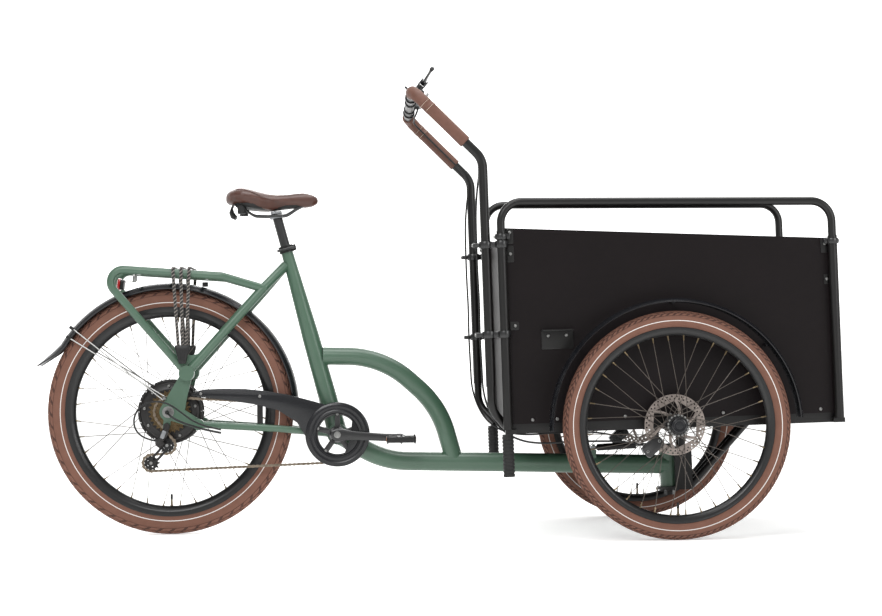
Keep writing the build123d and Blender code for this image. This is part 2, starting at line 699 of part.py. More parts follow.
hub_offset = 34.0               # hub ends either side of the tyre's middle
rotor_radius = 80.0
stub_radius = 7.5
for side, name in ((-1, "right"), (1, "left")):
    wheel_y = side * front_track / 2
    with BuildPart() as front_tyre:
        tyre(front_axle, front_wheel_radius, front_tyre_radius, front_rim_radius, wheel_y)
    finish(front_tyre, name + "_tyre")
    with BuildPart() as front_rim:
        rim(front_axle, front_rim_radius, front_rim_depth, front_rim_half, wheel_y)
        valve_end = front_rim_radius - front_rim_depth
        tube_between(spot(wheelbase, wheel_y, front_wheel_radius - valve_end + 32),
                     spot(wheelbase, wheel_y, front_wheel_radius - valve_end - 2), 3)
    finish(front_rim, name + "_rim")
    with BuildPart() as front_hub:
        bore = stub_radius + running_gap
        disc(front_axle, 17, wheel_y - hub_offset, wheel_y + hub_offset, bore=bore)
        for flange in (-1, 1):
            disc(front_axle, 29, wheel_y + flange * 26 - 1.5, wheel_y + flange * 26 + 1.5, bore=17)
        cap_y = wheel_y + side * hub_offset
        disc(front_axle, 21, min(cap_y, cap_y + side * 12), max(cap_y, cap_y + side * 12))
        disc(front_axle, bore, min(cap_y, cap_y + side * 9), max(cap_y, cap_y + side * 9), mode=Mode.SUBTRACT)
        rotor_y = wheel_y - side * (hub_offset - 1)
        disc(front_axle, rotor_radius, rotor_y - 1, rotor_y + 1, bore=64)
        disc(front_axle, 24, rotor_y - 1, rotor_y + 1, bore=17)
        for arm in range(6):
            a = 2 * pi * arm / 6
            tube_between(Vector(front_axle.X + 23 * cos(a), rotor_y, front_axle.Z + 23 * sin(a)),
                         Vector(front_axle.X + 66 * cos(a + 0.5), rotor_y, front_axle.Z + 66 * sin(a + 0.5)), 1)
        spokes(front_axle, wheel_y, 27, 26, front_rim_radius - front_rim_depth - 0.3, 62)
    finish(front_hub, name + "_hub")


# ================================================================ front module
# Yoke: two plates above and below the head tube, a web ahead of them, and the kingpin.
yoke_half = 34.0
yoke_reach = 62.0
web_thick = 8.0
cheek_start = 14.0             # clear of the main tube at full steering
with BuildPart() as pivot_bracket:
    for low, high in ((head_low - weld_gap - 9, head_low - weld_gap), (head_high + weld_gap, head_high + weld_gap + 9)):
        with BuildSketch(steer_plane.offset(low)):
            Circle(yoke_half)
            with Locations((yoke_reach / 2, 0)):
                Rectangle(yoke_reach, 2 * yoke_half)
        extrude(amount=high - low)
    for side in (-1, 1):
        with BuildSketch(steer_plane.offset(head_low - weld_gap - 9)):
            with Locations(((yoke_reach + cheek_start) / 2, side * (yoke_half - web_thick / 2))):
                Rectangle(yoke_reach - cheek_start, web_thick)
        extrude(amount=head_high - head_low + 18)
    with BuildSketch(steer_plane.offset(-6)):
        Circle(kingpin_radius)
    extrude(amount=head_high + 22)
    with BuildSketch(steer_plane.offset(-12)):
        RegularPolygon(15, 6)
    extrude(amount=12 - weld_gap)
    with BuildSketch(steer_plane.offset(head_high + weld_gap + 9)):
        RegularPolygon(15, 6)
    extrude(amount=9)
finish(pivot_bracket, "pivot_bracket")

# Chassis: two long rails under the box, cross members, the wheel beam and its stub axles.
rail_height = 26.0
rail_width = 20.0
rail_v = box_half_width - 22
rail_low = -30.0
beam_half = 15.0
beam_end = front_track / 2 - hub_offset - 14
with BuildPart() as front_chassis:
    for side in (-1, 1):
        block(deck_plane(box_length / 2, side * rail_v, rail_low), box_length + 10, rail_width, rail_height)
    for u in (6, box_length - 6):
        block(deck_plane(u, 0, rail_low), rail_width, 2 * rail_v, rail_height)
    for v in (-90, 90):
        block(deck_plane(box_length / 2, v, rail_low), box_length - 30, rail_width, rail_height)
    # wheel beam, its end lugs and the stub axles
    block(Plane(origin=front_axle + Vector(0, 0, -beam_half)), 2 * beam_half, 2 * beam_end, 2 * beam_half)
    for side in (-1, 1):
        start_y = side * beam_end
        end_y = side * (front_track / 2 + hub_offset + 6)
        disc(front_axle, stub_radius, min(start_y, end_y), max(start_y, end_y))
        collar_y = side * (front_track / 2 - hub_offset - 3)
        disc(front_axle, 13, min(start_y, collar_y), max(start_y, collar_y))
    # struts up from the yoke to the beam and forward to the front cross member
    yoke_top = steer_plane.from_local_coords(Vector(20, 0, head_high + weld_gap + 9))
    for side in (-1, 1):
        tube_between(yoke_top + Vector(16, side * 24, 0), yoke_top + Vector(16, side * 24, 62), 9)
        tube_between(steer_plane.from_local_coords(Vector(54, side * 24, 8)), deck(690, side * 24, rail_low + 8), 10)
    block(deck_plane(690, 0, rail_low), rail_width, 180, rail_height)
    # post above the damper's rod end
    tube_between(damper_eye + Vector(4, 0, 7), damper_eye + Vector(4, 0, 50), 6)
    add(pivot_bracket.part, mode=Mode.SUBTRACT)
finish(front_chassis, "front_chassis")

floor_low = rail_low + rail_height
floor_thick = 12.0
box_inner = box_half_width - panel_thick
with BuildPart() as box_floor:
    block(deck_plane(box_length / 2, 0, floor_low + 0.1), box_length - 2 * panel_thick - 1,
          2 * box_inner - 1, floor_thick)
finish(box_floor, "box_floor")

with BuildPart() as box_panels:
    for side in (-1, 1):
        v = side * box_inner if side < 0 else side * box_half_width
        with BuildSketch(deck_side(0, v, 0)):
            with BuildLine():
                Polyline((0, floor_low), (box_length, floor_low), (box_length, box_front_height),
                         (0, box_rear_height), close=True)
            make_face()
        extrude(amount=panel_thick)
    block(deck_plane(panel_thick / 2, 0, floor_low), panel_thick, 2 * box_inner - 0.2, box_rear_height - floor_low - 14)
    block(deck_plane(box_length - panel_thick / 2, 0, floor_low), panel_thick, 2 * box_inner - 0.2,
          box_front_height - floor_low - 4)
finish(box_panels, "box_panels")

rear_post_top = 506.0
front_post_top = 465.0
post_foot = -8.0
posts = [(rear_post_u, rear_post_top), (front_post_u, front_post_top)]
with BuildPart() as corner_posts:
    for u, top in posts:
        for side in (-1, 1):
            tube_between(deck(u, side * post_offset, post_foot), deck(u, side * post_offset, top),
                         post_radius, wall=post_wall)
            # foot lug under the post, bolted to the rail
            with BuildSketch(deck_plane(u, side * post_offset, post_foot - 10)):
                Circle(post_radius)
            extrude(amount=10)
            block(deck_plane(u if u > 0 else u + 8, side * (rail_v + 20), rail_low), 30, 30, 12)
    add(box_panels.part, mode=Mode.SUBTRACT)
    add(front_chassis.part, mode=Mode.SUBTRACT)
finish(corner_posts, "corner_posts")

rail_bend_w = (583.0, 556.0)
left_rail_raised = 42.0         # the left rail is set higher in its posts
for side, name, raised in ((-1, "top_rail_right", 0), (1, "top_rail_left", left_rail_raised)):
    with BuildPart() as top_rail:
        v = side * post_offset
        foot = 290 + raised
        bar([deck(rear_post_u, v, foot), deck(rear_post_u, v, rail_bend_w[0] + raised),
             deck(front_post_u, v, rail_bend_w[1] + raised), deck(front_post_u, v, foot)],
            rail_tube_radius, bends=55, wall=1.6)
    finish(top_rail, name)

# Plates, eye clamps and bolts on the outside of the box.
bolt_radius = 4.5
bolt_height = 3.5
plate_thick = 2.5
skin = box_half_width + 0.1
clamp_w = (225.0, 462.0)
with BuildPart() as box_fittings:
    for side in (-1, 1):
        plates = [(12, 492, 18, 40, ((0, 10),)), (12, 445, 18, 44, ((0, 0),)), (16, 255, 24, 22, ((2, 0),)),
                  (848, 440, 22, 40, ((0, 4),)), (850, 350, 16, 26, ((0, 0),)),
                  (128, 216, 84, 52, ((-24, 10), (24, 10)))]
        for u, w, length, height, bolts in plates:
            base = Plane(origin=deck(u, side * skin, w), x_dir=deck_along, z_dir=(0, side, 0))
            sign = 1 if side < 0 else -1
            with BuildSketch(base):
                RectangleRounded(length, height, 3)
            extrude(amount=plate_thick)
            for bolt_u, bolt_w in bolts:
                with BuildSketch(base.offset(plate_thick)):
                    with Locations((bolt_u, sign * bolt_w)):
                        Circle(bolt_radius)
                extrude(amount=bolt_height)
    # ledge of the angle bracket
    for side in (-1, 1):
        block(deck_plane(128, side * (skin + plate_thick + 14), 238), 84, 28, 3)
    # eye clamps at the post tops
    for u, top in posts:
        for side in (-1, 1):
            with BuildSketch(deck_plane(u, side * post_offset, top - 22)):
                Circle(post_radius + 4)
                with Locations((-14 if u > 0 else 14, 0)):
                    Rectangle(20, 12)
                Circle(post_radius + 0.02, mode=Mode.SUBTRACT)
            extrude(amount=14)
    # clamps that hold the handlebar's legs to the rear posts
    for side in (-1, 1):
        for w in clamp_w:
            with BuildSketch(deck_plane(mast_u, side * mast_v, w)):
                Circle(mast_radius + 5)
                with BuildLine():
                    Polyline((0, -9), (26, -9 + side * 8), (26, 9 + side * 8), (0, 9), close=True)
                make_face()
                Circle(mast_radius + running_gap, mode=Mode.SUBTRACT)
                with Locations((rear_post_u - mast_u, side * (post_offset - mast_v))):
                    Circle(post_radius + 0.1, mode=Mode.SUBTRACT)
            extrude(amount=18)
            tube_between(deck(mast_u - 34, side * mast_v, w + 9), deck(mast_u - 15, side * mast_v, w + 9), 6)
    add(box_panels.part, mode=Mode.SUBTRACT)
finish(box_fittings, "box_fittings")

front_guard_radius = 332.0
front_guard_half = 30.0
guard_v = front_track / 2 - 4
with BuildPart() as front_mudguards:
    for side in (-1, 1):
        fender_arc(front_axle + Vector(0, side * guard_v, 0), front_guard_radius, front_guard_half, 9, 2, 3, 182)
        # straps from the guard to the box
        for angle in (40, 90, 140):
            a = radians(angle)
            reach = front_guard_radius - 9.5
            center = Vector(front_axle.X + reach * cos(a), 0, front_axle.Z + reach * sin(a))
            low = skin + 0.2
            high = guard_v - front_guard_half + 3
            disc(center, 5, low if side > 0 else -high, high if side > 0 else -low)
finish(front_mudguards, "front_mudguards")

with BuildPart() as stop_posts:
    for side in (-1, 1):
        tube_between(deck(-12, side * 322, rail_low - 0.1), deck(-12, side * 322, -142), 15.5)
finish(stop_posts, "stop_posts")

with BuildPart() as brake_calipers:
    for side in (-1, 1):
        rotor_y = side * (front_track / 2 - hub_offset + 1)
        place = front_axle + Vector(-58, 0, -56)
        # inner half with the piston, and a thin outer half that clears the spokes
        for shift, thick in ((-side, 13.0), (side, 5.4)):
            face = rotor_y + shift * 2.2
            far = face + shift * thick
            plane = Plane(origin=(place.X, min(face, far), place.Z), x_dir=(1, 0, 0.9), z_dir=(0, -1, 0))
            with BuildSketch(plane):
                RectangleRounded(58, 34, 8)
            extrude(amount=-thick)
        # bridge over the rotor's edge
        low_y = min(rotor_y - side * 15.2, rotor_y + side * 7.6)
        plane = Plane(origin=(place.X, low_y, place.Z), x_dir=(1, 0, 0.9), z_dir=(0, -1, 0))
        with BuildSketch(plane):
            with Locations((-17, 0)):
                Rectangle(24, 34)
        extrude(amount=-22.8)
finish(brake_calipers, "brake_calipers")

# Handlebar posts: thin bent tubes that the handlebar's legs slide on, and the clamps that hold them.
inner_radius = mast_radius - mast_wall - running_gap
inner_top = 430.0
with BuildPart() as bar_uprights:
    for side in (-1, 1):
        v = side * mast_v
        bar([deck(mast_u, v, inner_top), deck(mast_u, v, 34), deck(-6, side * (rail_v - 4), -18)],
            inner_radius, bends=70, wall=1.6)
    add(front_chassis.part, mode=Mode.SUBTRACT)
    add(stop_posts.part, mode=Mode.SUBTRACT)
    add(corner_posts.part, mode=Mode.SUBTRACT)
finish(bar_uprights, "bar_uprights")

# ---------------------------------------------------------------- handlebar
bar_corner = lambda side: deck(bar_corner_u, side * mast_v, bar_corner_w)
mast_foot = 97.0
with BuildPart() as handlebar_tube:
    bar([deck(mast_u, -mast_v, mast_foot), deck(mast_u, -mast_v, knee_w), bar_corner(-1), bar_corner(1),
         deck(mast_u, mast_v, knee_w), deck(mast_u, mast_v, mast_foot)], mast_radius,
        bends=[60, 42, 42, 60], wall=mast_wall)
finish(handlebar_tube, "handlebar_tube")

slope = (bar_corner(1) - deck(mast_u, mast_v, knee_w)).normalized()
with BuildPart() as grips:
    for side in (-1, 1):
        top = bar_corner(side) - slope * 46
        foot = top - slope * 150
        tube_between(foot, top, grip_radius, wall=grip_radius - mast_radius - 0.02)
finish(grips, "grips")

# Controls on the cross bar. They reach forward and up from it.
reach_dir = (deck_along * 0.66 + deck_up * 0.75).normalized()
lever_v = 168.0
bar_mid = deck(bar_corner_u, 0, bar_corner_w)
cross = Vector(0, 1, 0)


def on_bar(v, ahead):
    """A point beside the cross bar: v to the left, and ahead of it along the levers' reach."""
    return bar_mid + cross * v + reach_dir * ahead


def bar_ring(v, width, outer):
    """Adds a clamp ring round the cross bar."""
    with BuildSketch(Plane(origin=on_bar(v - width / 2, 0), x_dir=reach_dir, z_dir=cross), mode=Mode.PRIVATE) as ring:
        Circle(outer)
        Circle(mast_radius + 0.02, mode=Mode.SUBTRACT)
    extrude(to_extrude=ring.sketch, amount=width)


pivot_ahead = 52.0
small_v = 75.0                 # bell and gear shifter
fork_half = 7.0
with BuildPart() as control_mounts:
    for side in (-1, 1):
        bar_ring(side * lever_v, 20, 17)
        plane = Plane(origin=on_bar(side * (lever_v - 6), 16), x_dir=cross, z_dir=reach_dir)
        with BuildSketch(plane):
            Rectangle(14, 14)
        with BuildSketch(Plane(origin=on_bar(side * (lever_v + 4), pivot_ahead - 12), x_dir=cross, z_dir=reach_dir)):
            Rectangle(26, 20)
        loft()
        # fork that the lever turns in
        normal = reach_dir.cross(cross)
        for shift in (-1, 1):
            origin = on_bar(side * (lever_v + 4), pivot_ahead - 12) + normal * (shift * 8.2)
            with BuildSketch(Plane(origin=origin, x_dir=cross, z_dir=reach_dir)):
                Rectangle(22, 3.4)
            extrude(amount=22)
        bar_ring(side * small_v, 16, 16)
    # display in the middle and its stalk
    with BuildSketch(Plane(origin=on_bar(-24, 14), x_dir=cross, z_dir=reach_dir)):
        with Locations((0, 0)):
            RectangleRounded(58, 40, 6)
    extrude(amount=12)
    # bell dome on the far side
    with BuildSketch(Plane(origin=on_bar(small_v, 16), x_dir=cross, z_dir=reach_dir)):
        Circle(5)
    extrude(amount=6)
    with BuildSketch(Plane(origin=on_bar(small_v, 21.5), x_dir=cross, z_dir=reach_dir)):
        Circle(22)
    with BuildSketch(Plane(origin=on_bar(small_v, 36), x_dir=cross, z_dir=reach_dir)):
        Circle(12)
    loft()
finish(control_mounts, "control_mounts")

lever_normal = reach_dir.cross(cross)
for side, name in ((-1, "brake_lever_right"), (1, "brake_lever_left")):
    with BuildPart() as lever:
        pivot = on_bar(side * (lever_v + 6), pivot_ahead)
        eye = Plane(origin=pivot - lever_normal * (fork_half - 1), x_dir=cross, z_dir=lever_normal)
        with BuildSketch(eye):
            Circle(7)
        extrude(amount=2 * (fork_half - 1))
        blade_start = pivot + cross * (side * 4)
        blade_end = pivot + cross * (side * 84) + reach_dir * 32
        tube_between(blade_start, blade_end, 5.2)
        with BuildSketch(Plane(origin=blade_end, z_dir=blade_end - blade_start)):
            Circle(6.5)
        extrude(amount=8)
    finish(lever, name)

with BuildPart() as shift_lever:
    origin = on_bar(-small_v, 16.3)
    with BuildSketch(Plane(origin=origin, x_dir=cross, z_dir=reach_dir)):
        Circle(17)
    extrude(amount=10)
    tube_between(on_bar(-small_v, 22), on_bar(-small_v, 24) + lever_normal * 40, 4)
finish(shift_lever, "shift_lever")

with BuildPart() as bell_lever:
    tube_between(on_bar(small_v - 23, 27), on_bar(small_v - 40, 29), 2.5)
    with BuildSketch(Plane(origin=on_bar(small_v - 40, 24), x_dir=cross, z_dir=reach_dir)):
        Circle(6)
    extrude(amount=10)
finish(bell_lever, "bell_lever")

# ---------------------------------------------------------------- steering damper
with BuildPart() as steering_damper:
    with BuildSketch(Plane(origin=damper_root + Vector(0, 0, -4.5))):
        Circle(9)
        Circle(damper_pin + running_gap, mode=Mode.SUBTRACT)
    extrude(amount=9)
    tube_between(damper_root + damper_dir * 8.6, damper_root + damper_dir * 118, 9.5)
    tube_between(damper_root + damper_dir * 18, damper_root + damper_dir * 119, damper_pin + running_gap, mode=Mode.SUBTRACT)
finish(steering_damper, "steering_damper")

with BuildPart() as damper_rod:
    tube_between(damper_root + damper_dir * 64, damper_eye - damper_dir * 7.5, damper_pin)
    with BuildSketch(Plane(origin=damper_eye + Vector(0, 0, -4))):
        Circle(8)
        Circle(damper_pin, mode=Mode.SUBTRACT)
    extrude(amount=8)
finish(damper_rod, "damper_rod")

# ---------------------------------------------------------------- straps and cables
strap_x = (18.0, 40.0, 62.0)
with BuildPart() as luggage_straps:
    for side in (-1, 1):
        top_y = side * (rack_half_width + rack_tube_radius + 4)
        for index, x in enumerate(strap_x):
            gather = spot(42 + (index - 1) * 11, top_y, 520)
            crest = spot(x, top_y, rack_top_z + 8.6)
            with BuildSketch(Plane(origin=gather, x_dir=(1, 0, 0), z_dir=crest - gather)):
                Rectangle(9, 4)
            extrude(amount=(crest - gather).length)
        # hook that holds the three straps together
        with BuildSketch(Plane(origin=spot(42, top_y + side * 3.6, 519.9), x_dir=(1, 0, 0), z_dir=(0, 0, -1))):
            RectangleRounded(34, 12, 3)
        extrude(amount=48)
    for x in strap_x:
        block(Plane(origin=spot(x, 0, rack_top_z + 8.6)), 9, 2 * (rack_half_width + rack_tube_radius + 6), 4)
finish(luggage_straps, "luggage_straps")


def cord(points, radius):
    """Adds a cord whose arcs are as large as its runs allow, and prints their radii."""
    bends = []
    for before, corner, after in zip(points, points[1:], points[2:]):
        turn = (corner - before).get_angle(after - corner)
        short = min((corner - before).length, (after - corner).length)
        bends.append(0.45 * short / tan(radians(turn / 2)))
    print("cord arcs (mm):", [round(bend) for bend in bends])
    bar(points, radius, bends=bends)


motor_cord = [spot(0, -104, 340), spot(4, -121, 336), spot(20, -130, 324), spot(46, -126, 311),
              spot(76, -112, 300), spot(108, -103, 290), spot(146, -98, 282)]
gear_cord = [spot(-34, -84, 262), spot(-62, -95, 268), spot(-88, -101, 292), spot(-92, -104, 326),
             spot(-74, -108, 358), spot(-38, -116, 372), spot(4, -122, 366), spot(40, -122, 340),
             spot(70, -118, 316), spot(106, -112, 300), spot(146, -104, 291)]


def hose_route(side):
    """A brake hose: from its lever back under the cross bar, down beside the leg and forward to its caliper."""
    v = side * (mast_v - 24)
    under = lambda along, ahead, down: on_bar(side * along, ahead) - lever_normal * down
    leg = lambda down: bar_corner(side) - slope * down - cross * side * 22
    return [on_bar(side * (lever_v - 20), 34), on_bar(side * (lever_v - 38), 37), under(lever_v - 54, 32, 5),
            under(lever_v - 62, 18, 17), under(lever_v - 56, 3, 22), under(lever_v - 34, -2, 22),
            under(lever_v + 50, -2, 22), under(lever_v + 92, -4, 22),
            leg(44) - lever_normal * 8, leg(84) - lever_normal * 3, leg(130), leg(240),
            deck(-60, v, 668), deck(-68, v, 620), deck(-74, v, 560),
            deck(-75, v + side * 1, 470), deck(-75, v, 400), deck(-73, v + side * 2, 320), deck(-75, v, 240),
            deck(-73, v + side * 2, 150), deck(-72, v - side * 2, 80), deck(-52, v - side * 8, 18),
            deck(-22, v - side * 12, -24), deck(28, v - side * 14, -52), deck(90, v - side * 10, -60),
            deck(160, v - side * 6, -56), deck(230, v + side * 2, -58), deck(300, v + side * 12, -60),
            deck(345, v + side * 22, -72)]


hose_radius = 2.6
with BuildPart() as rear_cables:
    cord(motor_cord, 3.0)
    cord(gear_cord, 2.4)
finish(rear_cables, "rear_cables")

with BuildPart() as front_cables:
    for side in (-1, 1):
        cord(hose_route(side), hose_radius)
finish(front_cables, "front_cables")
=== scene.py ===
from math import acos, asin, atan2, cos, degrees, hypot, pi, radians, sin, sqrt
import bmesh
import bpy
from mathutils import Matrix, Vector


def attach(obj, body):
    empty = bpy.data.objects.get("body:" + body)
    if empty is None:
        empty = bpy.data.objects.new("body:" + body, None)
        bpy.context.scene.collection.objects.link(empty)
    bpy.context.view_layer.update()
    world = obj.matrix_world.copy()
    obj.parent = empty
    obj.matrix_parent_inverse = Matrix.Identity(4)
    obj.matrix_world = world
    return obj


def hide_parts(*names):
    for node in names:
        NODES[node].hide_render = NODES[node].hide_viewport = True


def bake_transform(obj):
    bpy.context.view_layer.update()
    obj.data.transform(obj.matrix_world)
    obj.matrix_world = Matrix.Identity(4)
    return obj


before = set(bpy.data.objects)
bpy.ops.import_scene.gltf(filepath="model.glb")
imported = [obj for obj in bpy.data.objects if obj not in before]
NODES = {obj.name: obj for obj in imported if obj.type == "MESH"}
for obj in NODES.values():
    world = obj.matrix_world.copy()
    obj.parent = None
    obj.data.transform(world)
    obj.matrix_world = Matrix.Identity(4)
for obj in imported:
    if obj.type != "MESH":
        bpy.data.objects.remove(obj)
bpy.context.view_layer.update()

scene = bpy.context.scene

# ---------------------------------------------------------------- the frame's own points
REAR_AXLE_X = -0.72073          # the rear axle, behind the middle of the bike
DECK_TILT = radians(1.4)        # the cargo box and all that steers with it sit nose up


def spot(x, y, z):
    """A point in mm from the rear axle's place on the ground, as metres in the frame."""
    return Vector((REAR_AXLE_X + x / 1000, y / 1000, z / 1000))


def deck(u, v, w):
    """A point in the front module: u along the box floor, v to the left, w square to the floor."""
    run = u * cos(DECK_TILT) - w * sin(DECK_TILT)
    rise = u * sin(DECK_TILT) + w * cos(DECK_TILT)
    return spot(927 + run, v, 307 + rise)


ALONG = (deck(1, 0, 0) - deck(0, 0, 0)).normalized()
UP = (deck(0, 0, 1) - deck(0, 0, 0)).normalized()
LEFT = Vector((0, 1, 0))


def placed(origin, x_dir, z_dir):
    """The matrix that puts local x and z along two directions at a point."""
    z_axis = z_dir.normalized()
    y_axis = z_axis.cross(x_dir).normalized()
    x_axis = y_axis.cross(z_axis)
    turn = Matrix((x_axis, y_axis, z_axis)).transposed().to_4x4()
    return Matrix.Translation(origin) @ turn


def side_place(y):
    """Local x forward, local y up, in mm from the rear axle's ground point, at one y."""
    return placed(spot(0, y, 0), Vector((1, 0, 0)), Vector((0, -1, 0)))


def axle_place(centre):
    """A lathe's axis across the bike, through a wheel's or shaft's middle."""
    return placed(centre, Vector((1, 0, 0)), LEFT)


# ---------------------------------------------------------------- colours and nodes
def linear(code):
    """An sRGB hex colour as linear RGBA."""
    channels = [int(code[i:i + 2], 16) / 255 for i in (1, 3, 5)]
    return tuple(c / 12.92 if c <= 0.04045 else ((c + 0.055) / 1.055) ** 2.4 for c in channels) + (1.0,)


def add_node(tree, kind, settings=None, values=None, links=None):
    """Adds a node with its settings, socket values and links."""
    node = tree.nodes.new(kind)
    for key, value in (settings or {}).items():
        setattr(node, key, value)
    for key, value in (values or {}).items():
        node.inputs[key].default_value = value
    for key, source in (links or {}).items():
        tree.links.new(source, node.inputs[key])
    return node


def finish_of(name, dark, light, patch_mm, rough, grain_mm, grain_depth_mm, grain="noise", stretch=None,
              **sockets):
    """A surface that drifts between two colours, with uneven gloss and a fine grain.

    grain is noise or cells; stretch scales the grain along each axis."""
    material = bpy.data.materials.new(name)
    material.use_nodes = True
    tree = material.node_tree
    tree.nodes.clear()
    place = add_node(tree, "ShaderNodeTexCoord").outputs["Object"]
    blotch = add_node(tree, "ShaderNodeTexNoise", values={"Scale": 1000 / patch_mm, "Detail": 4.0},
                      links={"Vector": place})
    colour = add_node(tree, "ShaderNodeMix", {"data_type": "RGBA"}, {6: linear(dark), 7: linear(light)},
                      {0: blotch.outputs[0]})
    fine = add_node(tree, "ShaderNodeMapping", values={"Scale": stretch or (1, 1, 1)},
                    links={"Vector": place})
    if grain == "cells":
        bumps = add_node(tree, "ShaderNodeTexVoronoi", {"feature": "SMOOTH_F1"},
                         {"Scale": 1000 / grain_mm, "Smoothness": 0.6}, {"Vector": fine.outputs[0]})
    else:
        bumps = add_node(tree, "ShaderNodeTexNoise", values={"Scale": 1000 / grain_mm, "Detail": 2.0},
                         links={"Vector": fine.outputs[0]})
    gloss = add_node(tree, "ShaderNodeMapRange", values={"To Min": rough[0], "To Max": rough[1]},
                     links={"Value": bumps.outputs[0]})
    relief = add_node(tree, "ShaderNodeBump", values={"Strength": 0.6, "Distance": grain_depth_mm / 1000},
                      links={"Height": bumps.outputs[0]})
    shader = add_node(tree, "ShaderNodeBsdfPrincipled",
                      values={key.replace("_", " ").title().replace("Ior", "IOR"): value
                              for key, value in sockets.items()},
                      links={"Base Color": colour.outputs[2], "Roughness": gloss.outputs[0],
                             "Normal": relief.outputs[0]})
    add_node(tree, "ShaderNodeOutputMaterial", links={"Surface": shader.outputs[0]})
    return material


# Satin powder coat on welded aluminium: soft broad highlights and a faint orange peel of 1.5 mm.
green_powder_coat = finish_of("green_powder_coat", "#36503F", "#405A49", 90, (0.32, 0.42), 1.5, 0.02,
                              coat_weight=0.15, coat_roughness=0.25)
# Satin powder coat on steel tube: near black, with a long soft streak of light down each tube.
black_powder_coat = finish_of("black_powder_coat", "#090808", "#0F0E0D", 60, (0.30, 0.40), 1.2, 0.02,
                              specular_ior_level=0.35)
# Film faced plywood: phenolic film over veneer, almost black with a warm cast and a low sheen.
film_faced_plywood = finish_of("film_faced_plywood", "#0A0607", "#120C0D", 160, (0.4, 0.52), 0.8, 0.012,
                               stretch=(1, 1, 2.5), specular_ior_level=0.14)
# Injection moulded polycarbonate, glossy: the mudguards and the chain guard reflect the studio.
moulded_gloss_black = finish_of("moulded_gloss_black", "#0A0B0E", "#101115", 70, (0.2, 0.3), 2.0, 0.008,
                                specular_ior_level=0.4)
# Moulded nylon with a spark eroded texture: even, matt, dark grey in the light.
moulded_nylon = finish_of("moulded_nylon", "#0C0C0C", "#131313", 30, (0.4, 0.55), 0.5, 0.03,
                          specular_ior_level=0.35)
# Natural tan rubber, vulcanised: dusty brown, matt, mottled where it has flexed.
tan_tyre_rubber = finish_of("tan_tyre_rubber", "#5F4136", "#704F42", 26, (0.68, 0.9), 0.8, 0.05,
                            specular_ior_level=0.25)
# The tread is the same rubber, a little lighter where it has been scuffed clean.
tan_tread_rubber = finish_of("tan_tread_rubber", "#634439", "#775548", 12, (0.72, 0.92), 0.6, 0.05,
                             specular_ior_level=0.25)
# The same rubber down in the grooves, coloured darker there as painted shade.
groove_rubber = finish_of("groove_rubber", "#3B261F", "#4A3027", 10, (0.85, 0.95), 0.8, 0.05)
# Glass bead tape moulded into the sidewall: a thin grey white line.
reflective_tape = finish_of("reflective_tape", "#B7B4B1", "#D2CFCC", 8, (0.35, 0.5), 0.5, 0.01)
# Anodised aluminium extrusion, black: a metal sheen under the dye, with lines drawn along the rim.
black_anodised_rim = finish_of("black_anodised_rim", "#070707", "#0D0D0E", 50, (0.26, 0.38), 0.8, 0.01,
                               specular_ior_level=0.45)
# Drawn stainless wire: bright, slightly warm.
stainless_wire = finish_of("stainless_wire", "#3B3530", "#57504A", 25, (0.25, 0.38), 0.6, 0.004,
                           metallic=0.35)
# Nickel plated brass nipples and valve stems.
nickel_brass = finish_of("nickel_brass", "#4D4232", "#6B5F4B", 6, (0.25, 0.38), 0.5, 0.01, metallic=1.0)
# Zinc plated steel fasteners: bright with a faint haze.
zinc_steel = finish_of("zinc_steel", "#747473", "#929290", 6, (0.25, 0.42), 0.5, 0.01, metallic=1.0)
# Brushed stainless disc: fine scratches that spread the light.
brushed_disc_steel = finish_of("brushed_disc_steel", "#79706B", "#968D87", 18, (0.28, 0.46), 0.6, 0.01,
                               metallic=1.0, anisotropic=0.4)
# Cast and machined aluminium: light grey, sandy skin.
cast_aluminium = finish_of("cast_aluminium", "#6F7173", "#8D8F91", 12, (0.34, 0.5), 0.7, 0.03, metallic=1.0)
# Phosphated and bronzed sprocket steel, wiped with oil.
bronzed_steel = finish_of("bronzed_steel", "#3A2F20", "#655640", 9, (0.3, 0.48), 0.6, 0.02, metallic=1.0)
# Chain plates: plain steel, warm, with oil in the joints.
oiled_chain_steel = finish_of("oiled_chain_steel", "#4A4138", "#8A7F71", 7, (0.28, 0.48), 0.5, 0.02,
                              metallic=1.0)
# Black cast motor shell with a baked enamel: brown black, slightly lumpy.
enamelled_casting = finish_of("enamelled_casting", "#080605", "#100C0A", 35, (0.34, 0.48), 1.2, 0.04,
                              specular_ior_level=0.4)
# Black anodised forging, satin: cranks, stem clamps and levers.
anodised_forging = finish_of("anodised_forging", "#0D0D0E", "#161617", 20, (0.24, 0.36), 0.7, 0.015,
                             specular_ior_level=0.55)
# Saddle leather, dyed and waxed: fine creases of about 1 mm, glossier on the crown.
saddle_leather = finish_of("saddle_leather", "#2E140B", "#4C2515", 30, (0.36, 0.55), 1.1, 0.12,
                           grain="cells",
                           coat_weight=0.12, coat_roughness=0.35)
# Grip leather, thinner and paler, wrapped wet round the bar.
grip_leather = finish_of("grip_leather", "#4C2D20", "#623E30", 14, (0.5, 0.7), 0.9, 0.1, grain="cells")
# Waxed linen thread, off white.
linen_thread = finish_of("linen_thread", "#C9BDAA", "#E2D8C6", 4, (0.6, 0.8), 0.4, 0.02)
# Black rubber, moulded: soft and matt, faint bloom.
moulded_rubber = finish_of("moulded_rubber", "#0D0D0D", "#151515", 18, (0.5, 0.7), 0.8, 0.04,
                           specular_ior_level=0.4)
# Polished chrome on the bell's dome.
chrome_plate = finish_of("chrome_plate", "#5B5C5E", "#707173", 30, (0.06, 0.12), 1.0, 0.002, metallic=1.0)
